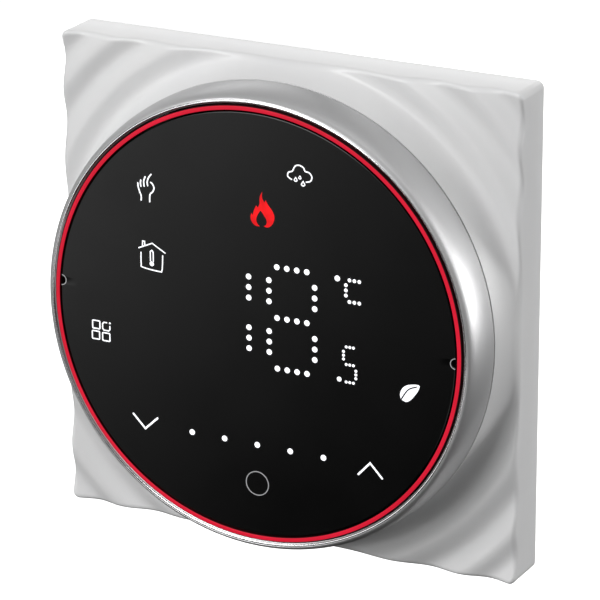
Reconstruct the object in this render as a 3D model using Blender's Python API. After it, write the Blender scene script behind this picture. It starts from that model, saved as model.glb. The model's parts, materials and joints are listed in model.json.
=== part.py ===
"""Wall thermostat for a standard 86 mm wall box: a rippled square plate with a round touch disc.

Frame: +Z up, the front faces -Y, +X to the right. The origin is the centre of the wall
plane, so the panel stands in front of it (negative Y) and the power box goes into the wall
(positive Y). Lengths below are in millimetres; "depth" is the distance in front of the wall.
"""
import math

import bmesh
import bpy
from mathutils import Matrix, Vector

MM = 0.001
GAP = 0.3                    # clearance kept between neighbouring pieces

# ---- driving dimensions: front panel --------------------------------------------------
PLATE_SIDE = 86.0
PLATE_CORNER_R = 1.3
PLATE_DEPTH = 8.5            # mean height of the rippled front above the wall
PLATE_WALL = 2.0
PLATE_INNER_DEPTH = 6.9      # back of the plate's front wall
FLARE_POWER = 2.2            # how sharply the plate curls up to the bezel
BOSS_R = 2.6
PILOT_R = 1.2
PILOT_BITE = 0.9             # how far a pilot hole goes into the plate's front wall
RIPPLE_HEIGHT = 0.5
RIPPLE_LENGTH = 6.7
RIPPLE_CREST_R = 47.2        # the first crest outside the bezel
RIPPLE_STEPS = 6             # rings per ripple
FLARE_STEPS = 4
VENTS = 7
VENT_PITCH = 4.0
VENT_HALF = 0.7
VENT_DEPTHS = (1.6, 5.6)
SEAM_R = 40.6                # where the bezel meets the plate
SEAM_DEPTH = 13.0
OPENING_R = 40.0
FLANGE_R = 36.5              # inner edge of the plate's screw flange
FLANGE_DEPTH = 8.4

BEZEL_TOP_R = 39.05
BEZEL_TOP_DEPTH = 20.4
BEZEL_INNER_R = 38.5
BEZEL_TAIL_R = 36.0
BEZEL_TAIL_OUTER_R = 39.7
BEZEL_SHELF_DEPTH = 14.2
BEZEL_LIP = 0.6              # straight wall between the seam and the flank's curve
BEZEL_LEAN = 0.15            # how much lower the bezel's top is on its inner side
BEZEL_FLANK_STEPS = 6
BEZEL_PILOT_DEPTH = 12.6

GLASS_R = 37.1
GLASS_DEPTH = 20.45
GLASS_THICK = 1.1
NOTCH_R = 0.65
NOTCH_ANGLES = (90.5, -86.0)         # clockwise from straight up

LIGHT_INNER_R = 37.4
LIGHT_OUTER_R = 38.15
LIGHT_BACK_DEPTH = 16.6
LIGHT_DEPTH = 20.8           # the light ring stands proud of the glass and the bezel

BOARD_R = 38.1
BOARD_THICK = 1.6
BAFFLE_R = 37.0
DIGIT_WINDOW_X, DIGIT_WINDOW_Z = (-4.0, 21.0), (-9.0, 13.5)
DIGIT_BORDER = 0.8
DIGIT_THICK = 2.6
ICON_CENTRES = ((-20.7, 21.3), (-19.8, 9.3), (1.3, 20.4), (8.1, 27.0))
ICON_HALF_X, ICON_HALF_Z = 2.6, 2.9
WIFI_X, WIFI_Z = (-20.0, -4.0), (4.0, 28.0)
WIFI_BOARD_THICK, WIFI_CAN_THICK = 0.8, 3.0
WIFI_CAN_BORDER, WIFI_ANTENNA = 1.0, 7.0
CHIP_X, CHIP_Z, CHIP_THICK = (6.0, 16.0), (8.0, 18.0), 1.6
BUZZER_AT = (22.0, -8.0)
BUZZER_R, BUZZER_HIGH, BUZZER_BEVEL = 4.5, 4.6, 0.4
NTC_X = -8.0
NTC_PROFILE = ((0.2, -34.0), (0.2, -36.2), (0.55, -36.6), (0.6, -37.6), (0.45, -38.4),
               (0.15, -38.8))  # (radius, z) from the legs to the bead's end
SPRING_TURNS, SPRING_STEPS, SPRING_SIDES = 3, 8, 4
SPRING_R, SPRING_WIRE_R = 1.9, 0.25

COVER_SIDE = 80.8
COVER_THICK = 1.2
COVER_BACK_DEPTH = 3.8
COVER_CORNER_R = 1.2
COVER_HOLE_R = 1.4
COVER_WINDOW_HALF = 12.6
COVER_VENT_AT, COVER_VENT_HALF = 14.0, 8.0
COVER_VENT_LOW_Z, COVER_VENT_PITCH, COVER_VENTS = 8.0, 4.0, 4
HOOK_AT, HOOK_HALF, BARB_HALF = 20.0, 5.0, 4.0
HOOK_TIP_DEPTH = 0.5
HOOK_CLEARANCE, HOOK_OUTSIDE = 0.8, 2.0      # beyond the bracket's edge
COVER_SCREW_AT = 35.0
BEZEL_SCREW_AT = 38.0        # radius of the bezel screws' circle
BEZEL_SCREW_ANGLES = (60.0, 180.0, 300.0)
KEY_CENTRES = ((-29.9, -5.6), (-21.6, -20.8), (0.0, -28.1), (21.2, -21.7), (28.4, -6.8))
KEY_HOLE_R = 2.9

# ---- driving dimensions: wall side ----------------------------------------------------
BRACKET_SIDE = 76.0
BRACKET_THICK = 1.2
BRACKET_STEP = 1.0           # how far the middle of the bracket is pressed forward
BRACKET_CORNER_R = 3.0
BRACKET_MIDDLE_HALF = 25.7
WALL_SLOT_HALF_X, WALL_SLOT_HALF_Z = 2.15, 5.5
SPARE_SLOT_HALF_X, SPARE_SLOT_HALF_Z, SPARE_SLOT_AT = 4.5, 1.5, 33.0
RELIEF_AT = (-15.0, 0.0, 15.0)
RELIEF_HALF, RELIEF_Z = 4.0, (4.0, 16.0)
BOX_SIDE = 48.0
BOX_WALL = 1.6
BOX_FRONT = 1.4
BOX_REAR = 27.4
BOX_CORNER_R = 1.5
BOX_VENTS, BOX_VENT_PITCH, BOX_VENT_HALF = 5, 3.2, 0.7
BOX_VENT_MIDDLE_Z, BOX_VENT_Y = 8.0, (12.0, 22.0)
LID_THICK = 1.8
POST_AT = 21.0
POST_R = 2.8
POST_END = 6.3
POST_SKIN = 0.7              # thickness left at the end of a post's pilot hole
BOX_SCREW_HOLE_R = 1.45
WALL_SCREW_AT = 30.0         # half of the 60 mm spacing of the wall box's screws
BASE_BOARD_FRONT = 5.0
BASE_BOARD_REAR = BASE_BOARD_FRONT + BOARD_THICK
PARTS_FRONT = BASE_BOARD_REAR + GAP
BOARD_CLEARANCE = 0.5
SUPPLY_X, SUPPLY_Z, SUPPLY_HIGH = (4.0, 19.5), (3.0, 17.0), 13.0
CAPACITOR_AT, CAPACITOR_R, CAPACITOR_HIGH = (13.0, -4.0), 4.0, 12.0
SURGE_AT, SURGE_R, SURGE_HALF_THICK = (2.5, -4.0), 4.6, 1.6
SURGE_LIFT = 5.6             # the disc's centre above the board
FUSE_AT, FUSE_R, FUSE_HIGH = (-12.0, -4.0), 2.6, 7.8

HEADER_Z = -16.0
HEADER_PINS = 8
HEADER_PITCH = 2.54
PIN_SIDE = 0.6
PIN_TIP = 1.0                # how far the pins reach behind the wall plane
HEADER_STRIP_THICK, HEADER_STRIP_HALF = 2.5, 1.27
SOCKET_FRONT = -3.4
SOCKET_HALF_X, SOCKET_HALF_Z = 11.0, 2.75

TERMINALS = 6
TERMINAL_PITCH = 7.0
TERMINAL_Z = -18.0
BLOCK_LOW_Z, BLOCK_HIGH_Z = -24.0, -11.3
BLOCK_HALF_WIDTH = 21.7
BLOCK_FRONT, BLOCK_REAR = 7.2, 27.1
CHAMBER_HALF = 2.9
CHAMBER_FRONT = 13.2
CLAMP_HALF = 2.6
CLAMP_WALL = 0.9
CLAMP_FRONT, CLAMP_REAR = 15.5, 21.5
CLAMP_HOLE_R = 1.65
WIRE_HOLE_Y = 16.5
WIRE_HOLE_R = 1.6
WIRE_HOLE_BITE = 0.5
TERMINAL_SCREW_TIP = 18.7
TERMINAL_SCREW_HEAD = 22.2

RELAY_X, RELAY_Z = -8.0, 9.0
RELAY_HALF_X, RELAY_HALF_Z = 9.5, 7.8
RELAY_BASE_THICK = 1.5
RELAY_REAR = 21.9
RELAY_SKIN = 0.7
COIL_FROM_PIVOT = 6.1
COIL_CORE_R, COIL_WIRE_R, COIL_FLANGE_R, COIL_FLANGE = 1.9, 4.4, 5.0, 0.8
POLE_REAR, POLE_THICK, POLE_R, CORE_R = 17.6, 0.6, 2.8, 1.6
YOKE_THICK, YOKE_HALF_WIDTH, YOKE_FOOT_THICK = 1.2, 4.0, 1.0
ARMATURE_HALF_WIDTH, ARMATURE_THICK = 3.6, 0.9
LEAF_HALF_WIDTH, LEAF_THICK = 1.8, 0.3
CONTACT_R, CONTACT_GAP = 1.1, 1.4
PIVOT = Vector((-15.6, 18.1, 9.0))   # armature hinge, on the yoke's rear edge

# ---- mesh resolution ------------------------------------------------------------------
RING_STEPS = 64
SCREW_STEPS = 10
ROUND_STEPS = 24
SMOOTH_ANGLE = math.radians(35)
BITE = 0.6                   # overlap of shapes that are joined
OVERSHOOT = 1.0              # how far a cutter runs past what it cuts

# ---- screws: head radius, head height, shank radius, shank length, groove width --------
COVER_SCREW = (2.1, 1.0, 0.9, 3.6, 0.5)
BEZEL_SCREW = (1.7, 1.2, 0.9, 5.4, 0.5)
BRACKET_SCREW = (2.3, 1.0, 1.15, 8.0, 0.6)
WALL_SCREW = (3.7, 2.0, 1.85, 22.0, 0.9)
TERMINAL_SCREW = (2.1, 1.8, 1.3, TERMINAL_SCREW_HEAD - TERMINAL_SCREW_TIP, 0.7)

COLOURS = {                  # name: (red, green, blue, roughness, metallic)
    "plate_satin": (0.80, 0.80, 0.80, 0.38, 0.0),
    "bezel_silver": (0.66, 0.66, 0.67, 0.28, 0.9),
    "black_glass": (0.012, 0.012, 0.013, 0.06, 0.0),
    "red_light": (0.72, 0.02, 0.04, 0.35, 0.0),
    "black_plastic": (0.03, 0.03, 0.032, 0.5, 0.0),
    "circuit_board": (0.02, 0.16, 0.07, 0.45, 0.0),
    "white_plastic": (0.78, 0.78, 0.76, 0.45, 0.0),
    "steel": (0.62, 0.62, 0.60, 0.35, 1.0),
    "brass": (0.72, 0.53, 0.25, 0.3, 1.0),
    "copper": (0.72, 0.38, 0.22, 0.35, 1.0),
    "blue_resin": (0.03, 0.10, 0.45, 0.4, 0.0),
    "green_plastic": (0.05, 0.30, 0.14, 0.45, 0.0),
    "chip_black": (0.02, 0.02, 0.02, 0.6, 0.0),
}


def clear_scene():
    for obj in list(bpy.data.objects):
        bpy.data.objects.remove(obj, do_unlink=True)


def material(name):
    """The Principled material of that name, made on first use."""
    if name in bpy.data.materials:
        return bpy.data.materials[name]
    red, green, blue, roughness, metallic = COLOURS[name]
    made = bpy.data.materials.new(name)
    made.use_nodes = True
    shader = made.node_tree.nodes["Principled BSDF"]
    shader.inputs["Base Color"].default_value = (red, green, blue, 1.0)
    shader.inputs["Roughness"].default_value = roughness
    shader.inputs["Metallic"].default_value = metallic
    made.diffuse_color = (red, green, blue, 1.0)
    return made


# ---- solids: every helper takes millimetres and returns an object ----------------------
def as_object(name, bm):
    """Close a bmesh (in millimetres) into a mesh object in metres, its faces pointing out."""
    bmesh.ops.recalc_face_normals(bm, faces=bm.faces)
    bmesh.ops.scale(bm, vec=(MM, MM, MM), verts=bm.verts)
    mesh = bpy.data.meshes.new(name)
    bm.to_mesh(mesh)
    bm.free()
    obj = bpy.data.objects.new(name, mesh)
    bpy.context.scene.collection.objects.link(obj)
    return obj


def finish(obj, colour, parent=None):
    obj.data.materials.clear()
    obj.data.materials.append(material(colour))
    obj.data.shade_smooth()
    obj.data.set_sharp_from_angle(angle=SMOOTH_ANGLE)
    if parent:
        obj.parent = parent
        obj.matrix_parent_inverse = parent.matrix_world.inverted()
    return obj


def slab(name, x, y, z, corner=0.0):
    """A block between the given limits; corner rounds its four edges along Y."""
    bm = bmesh.new()
    bmesh.ops.create_cube(bm, size=1.0)
    size = Vector((x[1] - x[0], y[1] - y[0], z[1] - z[0]))
    middle = Vector((x[1] + x[0], y[1] + y[0], z[1] + z[0])) / 2
    bmesh.ops.scale(bm, vec=size, verts=bm.verts)
    bmesh.ops.translate(bm, vec=middle, verts=bm.verts)
    if corner:
        along_y = [e for e in bm.edges if abs((e.verts[0].co - e.verts[1].co).y) > size.y / 2]
        bmesh.ops.bevel(bm, geom=along_y, offset=corner, segments=3, profile=0.5,
                        affect="EDGES", clamp_overlap=True)
    return as_object(name, bm)


def square(name, half, y, corner=0.0):
    return slab(name, (-half, half), y, (-half, half), corner)


def around(middle, half):
    return middle - half, middle + half


def inset(limits, border):
    return limits[0] + border, limits[1] - border


def turned(name, profile, steps, centre=(0.0, 0.0), closed=False, axis="Y"):
    """Turn (radius, position) points about an axis along Y (or Z) through centre.

    An open profile is capped with a disc at both ends; a closed one makes a ring.
    """
    bm = bmesh.new()
    rings = []
    for radius, along in profile:
        ring = []
        for step in range(steps):
            turn = 2 * math.pi * step / steps
            a, b = radius * math.sin(turn), radius * math.cos(turn)
            if axis == "Y":
                ring.append(bm.verts.new((centre[0] + a, along, centre[1] + b)))
            else:
                ring.append(bm.verts.new((centre[0] + a, centre[1] + b, along)))
        rings.append(ring)
    pairs = list(zip(rings, rings[1:]))
    if closed:
        pairs.append((rings[-1], rings[0]))
    else:
        bm.faces.new(rings[0])
        bm.faces.new(rings[-1])
    for near, far in pairs:
        for i in range(steps):
            j = (i + 1) % steps
            bm.faces.new((near[i], near[j], far[j], far[i]))
    return as_object(name, bm)


def rod(name, radius, y, centre, steps=ROUND_STEPS):
    return turned(name, [(radius, y[0]), (radius, y[1])], steps, centre)


def combine(obj, others, operation):
    """Apply a Boolean with each of the other objects, which are used up."""
    for other in others:
        modifier = obj.modifiers.new(operation.title(), "BOOLEAN")
        modifier.operation = operation
        modifier.object = other
        bpy.context.view_layer.update()
        evaluated = obj.evaluated_get(bpy.context.evaluated_depsgraph_get())
        result = bpy.data.meshes.new_from_object(evaluated)
        obj.modifiers.clear()
        obj.data = result
        bpy.data.objects.remove(other, do_unlink=True)
    return obj


def cut(obj, *cutters):
    return combine(obj, cutters, "DIFFERENCE")


def join(obj, *others):
    return combine(obj, others, "UNION")


def keep(obj, *limits):
    return combine(obj, limits, "INTERSECT")


def on_circle(radius, degrees):
    """The (x, z) point at a clock angle: 0 is up, and positive runs clockwise."""
    turn = math.radians(degrees)
    return radius * math.sin(turn), radius * math.cos(turn)


def copies(obj, name, places):
    """Put obj, then linked copies of it, at the given (x, y, z) places, numbered from 1."""
    made = []
    for number, place in enumerate(places, start=1):
        piece = obj if number == 1 else bpy.data.objects.new(name, obj.data)
        if number > 1:
            bpy.context.scene.collection.objects.link(piece)
        piece.name = f"{name}_{number}"
        piece.location = Vector(place) * MM
        made.append(piece)
    bpy.context.view_layer.update()
    return made


def screw(name, head_r, head_high, shank_r, shank_long, slot):
    """A screw along Y whose head's underside is at y=0, with its shank towards +Y.

    slot is the width of the driver groove across the head.
    """
    body = turned(name, [
        (head_r * 0.78, -head_high),
        (head_r, -head_high * 0.55),
        (head_r, 0.0),
        (shank_r, 0.0),
        (shank_r, shank_long - shank_r),
        (shank_r * 0.45, shank_long),
    ], SCREW_STEPS)
    reach = head_r * 0.62
    depth = (-head_high - 1.0, -head_high * 0.45)
    return cut(body, slab("recess", (-reach, reach), depth, (-slot / 2, slot / 2)))


def slotted_screw(name, head_r, head_high, shank_r, shank_long, slot):
    """A screw along Y with its shank towards -Y, its head's underside at y=0 and one groove."""
    body = turned(name, [
        (head_r, 0.0),
        (head_r, head_high * 0.8),
        (head_r * 0.9, head_high),
    ], SCREW_STEPS)
    shank = rod("shank", shank_r, (-shank_long, 0.4), (0.0, 0.0), SCREW_STEPS)
    join(body, shank)
    groove = slab("groove", (-head_r - 1.0, head_r + 1.0), (head_high * 0.5, head_high + 1.0),
                  (-slot / 2, slot / 2))
    return cut(body, groove)


def empty(name, place):
    made = bpy.data.objects.new(name, None)
    made.location = Vector(place) * MM
    bpy.context.scene.collection.objects.link(made)
    bpy.context.view_layer.update()
    return made


# ---- front panel ----------------------------------------------------------------------
def plate_height(radius):
    """Depth of the plate's front at a radius: a flare up to the bezel, then round ripples."""
    trough_r = RIPPLE_CREST_R - RIPPLE_LENGTH / 2
    trough = PLATE_DEPTH - RIPPLE_HEIGHT
    if radius < trough_r:
        rise = (trough_r - radius) / (trough_r - SEAM_R)
        return trough + (SEAM_DEPTH - GAP - trough) * rise ** FLARE_POWER
    wave = 2 * math.pi * (radius - RIPPLE_CREST_R) / RIPPLE_LENGTH
    return PLATE_DEPTH + RIPPLE_HEIGHT * math.cos(wave)


def wave_plate(parent):
    trough_r = RIPPLE_CREST_R - RIPPLE_LENGTH / 2
    outer_r = PLATE_SIDE / math.sqrt(2) + OVERSHOOT
    flare = [SEAM_R + (trough_r - SEAM_R) * i / FLARE_STEPS for i in range(FLARE_STEPS)]
    ripple_count = math.ceil((outer_r - trough_r) / RIPPLE_LENGTH * RIPPLE_STEPS)
    ripples = [trough_r + RIPPLE_LENGTH * i / RIPPLE_STEPS for i in range(ripple_count + 1)]
    front = [(r, -plate_height(r)) for r in flare + ripples]
    behind = OVERSHOOT
    profile = [(FLANGE_R, behind), (FLANGE_R, -FLANGE_DEPTH), (OPENING_R, -FLANGE_DEPTH),
               (OPENING_R, -SEAM_DEPTH + GAP)] + front + [(front[-1][0], behind)]
    plate = turned("wave_plate", profile, RING_STEPS, closed=True)
    half = PLATE_SIDE / 2
    keep(plate, square("outline", half, (-SEAM_DEPTH - OVERSHOOT, 0.0), PLATE_CORNER_R))
    cut(plate, square("cavity", half - PLATE_WALL, (-PLATE_INNER_DEPTH, behind + OVERSHOOT),
                      PLATE_CORNER_R / 2))
    boss_back = -COVER_BACK_DEPTH - COVER_THICK - GAP
    pilot = (-PLATE_INNER_DEPTH - PILOT_BITE, 0.0)
    for x in (-COVER_SCREW_AT, COVER_SCREW_AT):
        for z in (-COVER_SCREW_AT, COVER_SCREW_AT):
            join(plate, rod("boss", BOSS_R, (-PLATE_INNER_DEPTH - BITE, boss_back), (x, z)))
            cut(plate, rod("pilot", PILOT_R, pilot, (x, z), SCREW_STEPS))
    for angle in BEZEL_SCREW_ANGLES:
        centre = on_circle(BEZEL_SCREW_AT, angle)
        cut(plate, rod("hole", PILOT_R, (-FLANGE_DEPTH - OVERSHOOT, 0.0), centre, SCREW_STEPS))
    lower_edge = (-half - OVERSHOOT, -half + PLATE_WALL + OVERSHOOT)
    for number in range(VENTS):
        x = (number - (VENTS - 1) / 2) * VENT_PITCH
        cut(plate, slab("vent", (x - VENT_HALF, x + VENT_HALF),
                        (-VENT_DEPTHS[1], -VENT_DEPTHS[0]), lower_edge))
    return finish(plate, "plate_satin", parent)


def bezel_ring(parent):
    """The satin ring: a convex flank outside, a seat for glass and board inside."""
    rise = BEZEL_TOP_DEPTH - SEAM_DEPTH - BEZEL_LIP
    bulge = SEAM_R - BEZEL_TOP_R
    flank = []
    for i in range(BEZEL_FLANK_STEPS + 1):
        turn = math.pi / 2 * i / BEZEL_FLANK_STEPS
        flank.append((BEZEL_TOP_R + bulge * math.sin(turn),
                      -(BEZEL_TOP_DEPTH - rise + rise * math.cos(turn))))
    tail_front = -(FLANGE_DEPTH + GAP)
    profile = [(BEZEL_INNER_R, -BEZEL_TOP_DEPTH + BEZEL_LEAN)] + flank + [
        (SEAM_R, -SEAM_DEPTH),
        (BEZEL_TAIL_OUTER_R, -SEAM_DEPTH),
        (BEZEL_TAIL_OUTER_R, tail_front),
        (BEZEL_TAIL_R, tail_front),
        (BEZEL_TAIL_R, -BEZEL_SHELF_DEPTH),
        (BEZEL_INNER_R, -BEZEL_SHELF_DEPTH),
    ]
    ring = turned("bezel_ring", profile, RING_STEPS, closed=True)
    for angle in BEZEL_SCREW_ANGLES:
        centre = on_circle(BEZEL_SCREW_AT, angle)
        cut(ring, rod("pilot", PILOT_R, (-BEZEL_PILOT_DEPTH, 0.0), centre, SCREW_STEPS))
    return finish(ring, "bezel_silver", parent)


def light_ring(parent):
    profile = [(LIGHT_INNER_R, -LIGHT_BACK_DEPTH), (LIGHT_INNER_R, -LIGHT_DEPTH),
               (LIGHT_OUTER_R, -LIGHT_DEPTH), (LIGHT_OUTER_R, -LIGHT_BACK_DEPTH)]
    return finish(turned("light_ring", profile, RING_STEPS, closed=True), "red_light", parent)


def glass_disc(parent):
    edge = 0.2
    disc = turned("glass_disc", [
        (GLASS_R, -GLASS_DEPTH + GLASS_THICK),
        (GLASS_R, -GLASS_DEPTH + edge),
        (GLASS_R - edge, -GLASS_DEPTH),
    ], RING_STEPS)
    for angle in NOTCH_ANGLES:
        centre = on_circle(GLASS_R, angle)
        through = (-GLASS_DEPTH - OVERSHOOT, -GLASS_DEPTH + GLASS_THICK + OVERSHOOT)
        cut(disc, rod("notch", NOTCH_R, through, centre, SCREW_STEPS))
    return finish(disc, "black_glass", parent)


def light_baffle(parent):
    """The black mask behind the glass: one window for each lit symbol, one hole for each key."""
    back = -(BEZEL_SHELF_DEPTH + GAP + BOARD_THICK + GAP)
    front = -(GLASS_DEPTH - GLASS_THICK - GAP)
    baffle = rod("light_baffle", BAFFLE_R, (front, back), (0.0, 0.0), RING_STEPS)
    through = (front - OVERSHOOT, back + OVERSHOOT)
    cut(baffle, slab("digits", DIGIT_WINDOW_X, through, DIGIT_WINDOW_Z))
    for x, z in ICON_CENTRES:
        cut(baffle, slab("icon", (x - ICON_HALF_X, x + ICON_HALF_X), through,
                         (z - ICON_HALF_Z, z + ICON_HALF_Z)))
    for x, z in KEY_CENTRES:
        cut(baffle, rod("key", KEY_HOLE_R, through, (x, z), SCREW_STEPS))
    return finish(baffle, "black_plastic", parent)


def display_parts(parent):
    """The round board and what is soldered to it."""
    back = -(BEZEL_SHELF_DEPTH + GAP)
    front = back - BOARD_THICK
    board = rod("display_board", BOARD_R, (front, back), (0.0, 0.0), RING_STEPS)
    finish(board, "circuit_board", parent)

    lens = slab("digit_display", inset(DIGIT_WINDOW_X, DIGIT_BORDER),
                (front - GAP - DIGIT_THICK, front - GAP),
                inset(DIGIT_WINDOW_Z, DIGIT_BORDER), 0.6)
    finish(lens, "white_plastic", parent)

    behind = back + GAP
    wifi = slab("wifi_module", WIFI_X, (behind, behind + WIFI_BOARD_THICK), WIFI_Z)
    can_z = inset(WIFI_Z, WIFI_CAN_BORDER)
    join(wifi, slab("can", inset(WIFI_X, WIFI_CAN_BORDER),
                    (behind + WIFI_BOARD_THICK / 2, behind + WIFI_CAN_THICK),
                    (can_z[0], WIFI_Z[1] - WIFI_ANTENNA), 0.8))
    finish(wifi, "steel", parent)
    finish(slab("control_chip", CHIP_X, (behind, behind + CHIP_THICK), CHIP_Z, 0.5),
           "chip_black", parent)
    shoulder, top = behind + BUZZER_HIGH - BUZZER_BEVEL, behind + BUZZER_HIGH
    buzzer = turned("buzzer", [(BUZZER_R, behind), (BUZZER_R, shoulder),
                               (BUZZER_R - BUZZER_BEVEL, top)], ROUND_STEPS, BUZZER_AT)
    cut(buzzer, rod("port", 1.0, (top - 1.0, top + OVERSHOOT), BUZZER_AT, SCREW_STEPS))
    finish(buzzer, "black_plastic", parent)


def in_a_row(count, pitch):
    """Places along X, evenly spaced about the middle."""
    return [(i - (count - 1) / 2) * pitch for i in range(count)]


def pin_header(parent):
    """Eight long pins in one strip, which plug the panel into the wall side."""
    board_back = -BEZEL_SHELF_DEPTH
    half_long = HEADER_PITCH * HEADER_PINS / 2
    strip_back = board_back + HEADER_STRIP_THICK
    strip = slab("pin_header", (-half_long, half_long), (board_back, strip_back),
                 around(HEADER_Z, HEADER_STRIP_HALF))
    half = PIN_SIDE / 2
    for x in in_a_row(HEADER_PINS, HEADER_PITCH):
        join(strip, slab("pin", around(x, half), (strip_back - BITE, PIN_TIP),
                         around(HEADER_Z, half)))
    return finish(strip, "black_plastic", parent)


def touch_springs(parent):
    """One short coil behind each key, from the board to the back of the glass."""
    low = -(BEZEL_SHELF_DEPTH + GAP + BOARD_THICK + GAP) - SPRING_WIRE_R
    high = -(GLASS_DEPTH - GLASS_THICK - GAP) + SPRING_WIRE_R
    last = SPRING_TURNS * SPRING_STEPS
    bm = bmesh.new()
    rings = []
    for step in range(last + 1):
        turn = 2 * math.pi * step / SPRING_STEPS
        out = Vector((math.sin(turn), 0.0, math.cos(turn)))
        centre = out * SPRING_R + Vector((0.0, low + (high - low) * step / last, 0.0))
        ring = []
        for side in range(SPRING_SIDES):
            angle = 2 * math.pi * side / SPRING_SIDES
            offset = out * math.cos(angle) + Vector((0.0, math.sin(angle), 0.0))
            ring.append(bm.verts.new(centre + offset * SPRING_WIRE_R))
        rings.append(ring)
    bm.faces.new(rings[0])
    bm.faces.new(rings[-1])
    for near, far in zip(rings, rings[1:]):
        for i in range(SPRING_SIDES):
            j = (i + 1) % SPRING_SIDES
            bm.faces.new((near[i], near[j], far[j], far[i]))
    first = as_object("touch_spring", bm)
    for spring in copies(first, "touch_spring", [(x, 0.0, z) for x, z in KEY_CENTRES]):
        finish(spring, "steel", parent)


def ntc_sensor(parent):
    """The room-temperature bead, which lies above the vents in the plate's lower edge."""
    middle = -(COVER_BACK_DEPTH + COVER_THICK + PLATE_INNER_DEPTH) / 2
    bead = turned("ntc_sensor", NTC_PROFILE, ROUND_STEPS // 2, (NTC_X, middle), axis="Z")
    return finish(bead, "black_plastic", parent)


def rear_cover(parent):
    """Flat back of the panel, with the header's window and four hooks round the bracket."""
    back, front = -COVER_BACK_DEPTH, -COVER_BACK_DEPTH - COVER_THICK
    cover = square("rear_cover", COVER_SIDE / 2, (front, back), COVER_CORNER_R)
    through = (front - OVERSHOOT, back + OVERSHOOT)
    cut(cover, slab("window", around(0.0, COVER_WINDOW_HALF), through,
                    around(HEADER_Z, 4.0), 0.8))
    for row in range(COVER_VENTS):
        z = COVER_VENT_LOW_Z + row * COVER_VENT_PITCH
        for x in (-COVER_VENT_AT, COVER_VENT_AT):
            cut(cover, slab("vent", around(x, COVER_VENT_HALF), through, around(z, VENT_HALF)))
    tip = -HOOK_TIP_DEPTH
    edge = BRACKET_SIDE / 2
    arm_z = (edge + HOOK_CLEARANCE, edge + HOOK_OUTSIDE)
    barb_z = (edge + GAP, edge + HOOK_OUTSIDE - 0.2)
    for x in (-HOOK_AT, HOOK_AT):
        for side in (-1, 1):
            arm = slab("arm", around(x, HOOK_HALF), (back - BITE, tip),
                       sorted(side * z for z in arm_z))
            barb = slab("barb", around(x, BARB_HALF), (tip - 0.9, tip - 0.2),
                        sorted(side * z for z in barb_z))
            join(cover, join(arm, barb))
    for x in (-COVER_SCREW_AT, COVER_SCREW_AT):
        for z in (-COVER_SCREW_AT, COVER_SCREW_AT):
            cut(cover, rod("hole", COVER_HOLE_R, through, (x, z), SCREW_STEPS))
    return finish(cover, "white_plastic", parent)


def panel_screws(parent):
    """Screws from behind: four through the rear cover, three through the plate's flange."""
    at = COVER_SCREW_AT
    head_under = -COVER_BACK_DEPTH + GAP
    places = [(x, head_under, z) for x in (-at, at) for z in (-at, at)]
    first = screw("cover_screw", *COVER_SCREW)
    for piece in copies(flipped(first), "cover_screw", places):
        finish(piece, "steel", parent)
    head_under = -PLATE_INNER_DEPTH + GAP
    places = []
    for angle in BEZEL_SCREW_ANGLES:
        x, z = on_circle(BEZEL_SCREW_AT, angle)
        places.append((x, head_under, z))
    first = screw("bezel_screw", *BEZEL_SCREW)
    for piece in copies(flipped(first), "bezel_screw", places):
        finish(piece, "steel", parent)


def flipped(obj):
    """Turn a screw round so that its shank points towards -Y."""
    obj.data.transform(Matrix.Rotation(math.pi, 4, "Z"))
    return obj


# ---- wall side ------------------------------------------------------------------------
def mounting_bracket():
    """Pressed steel plate: a frame flat on the wall and a middle that stands forward."""
    half = BRACKET_SIDE / 2
    front = -BRACKET_THICK - BRACKET_STEP
    plate = square("mounting_bracket", half, (-BRACKET_THICK, 0.0), BRACKET_CORNER_R)
    join(plate, square("middle", BRACKET_MIDDLE_HALF, (front, -0.2)))
    cut(plate, square("recess", BRACKET_MIDDLE_HALF - 1.0, (-BRACKET_STEP, OVERSHOOT)))
    through = (front - OVERSHOOT, OVERSHOOT)
    cut(plate, slab("window", around(0.0, 12.0), through, around(HEADER_Z, 3.6), 0.8))
    for side in (-1, 1):
        cut(plate, slab("slot", around(side * WALL_SCREW_AT, WALL_SLOT_HALF_X), through,
                        around(0.0, WALL_SLOT_HALF_Z), 2.0))
        cut(plate, slab("spare_slot", around(0.0, SPARE_SLOT_HALF_X), through,
                        around(side * SPARE_SLOT_AT, SPARE_SLOT_HALF_Z), 1.2))
    for x in (-POST_AT, POST_AT):
        for z in (-POST_AT, POST_AT):
            cut(plate, rod("hole", BOX_SCREW_HOLE_R, through, (x, z), SCREW_STEPS))
    for x in RELIEF_AT:
        cut(plate, slab("relief", around(x, RELIEF_HALF), through, RELIEF_Z, 1.5))
    return finish(plate, "steel")


def power_lid():
    front = -BRACKET_STEP + GAP
    lid = square("power_lid", BOX_SIDE / 2, (front, front + LID_THICK), BOX_CORNER_R)
    through = (front - OVERSHOOT, front + LID_THICK + OVERSHOOT)
    cut(lid, slab("window", around(0.0, 11.6), through, around(HEADER_Z, 3.2)))
    for x in (-POST_AT, POST_AT):
        for z in (-POST_AT, POST_AT):
            cut(lid, rod("hole", BOX_SCREW_HOLE_R, through, (x, z), SCREW_STEPS))
    return finish(lid, "white_plastic")


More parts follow.
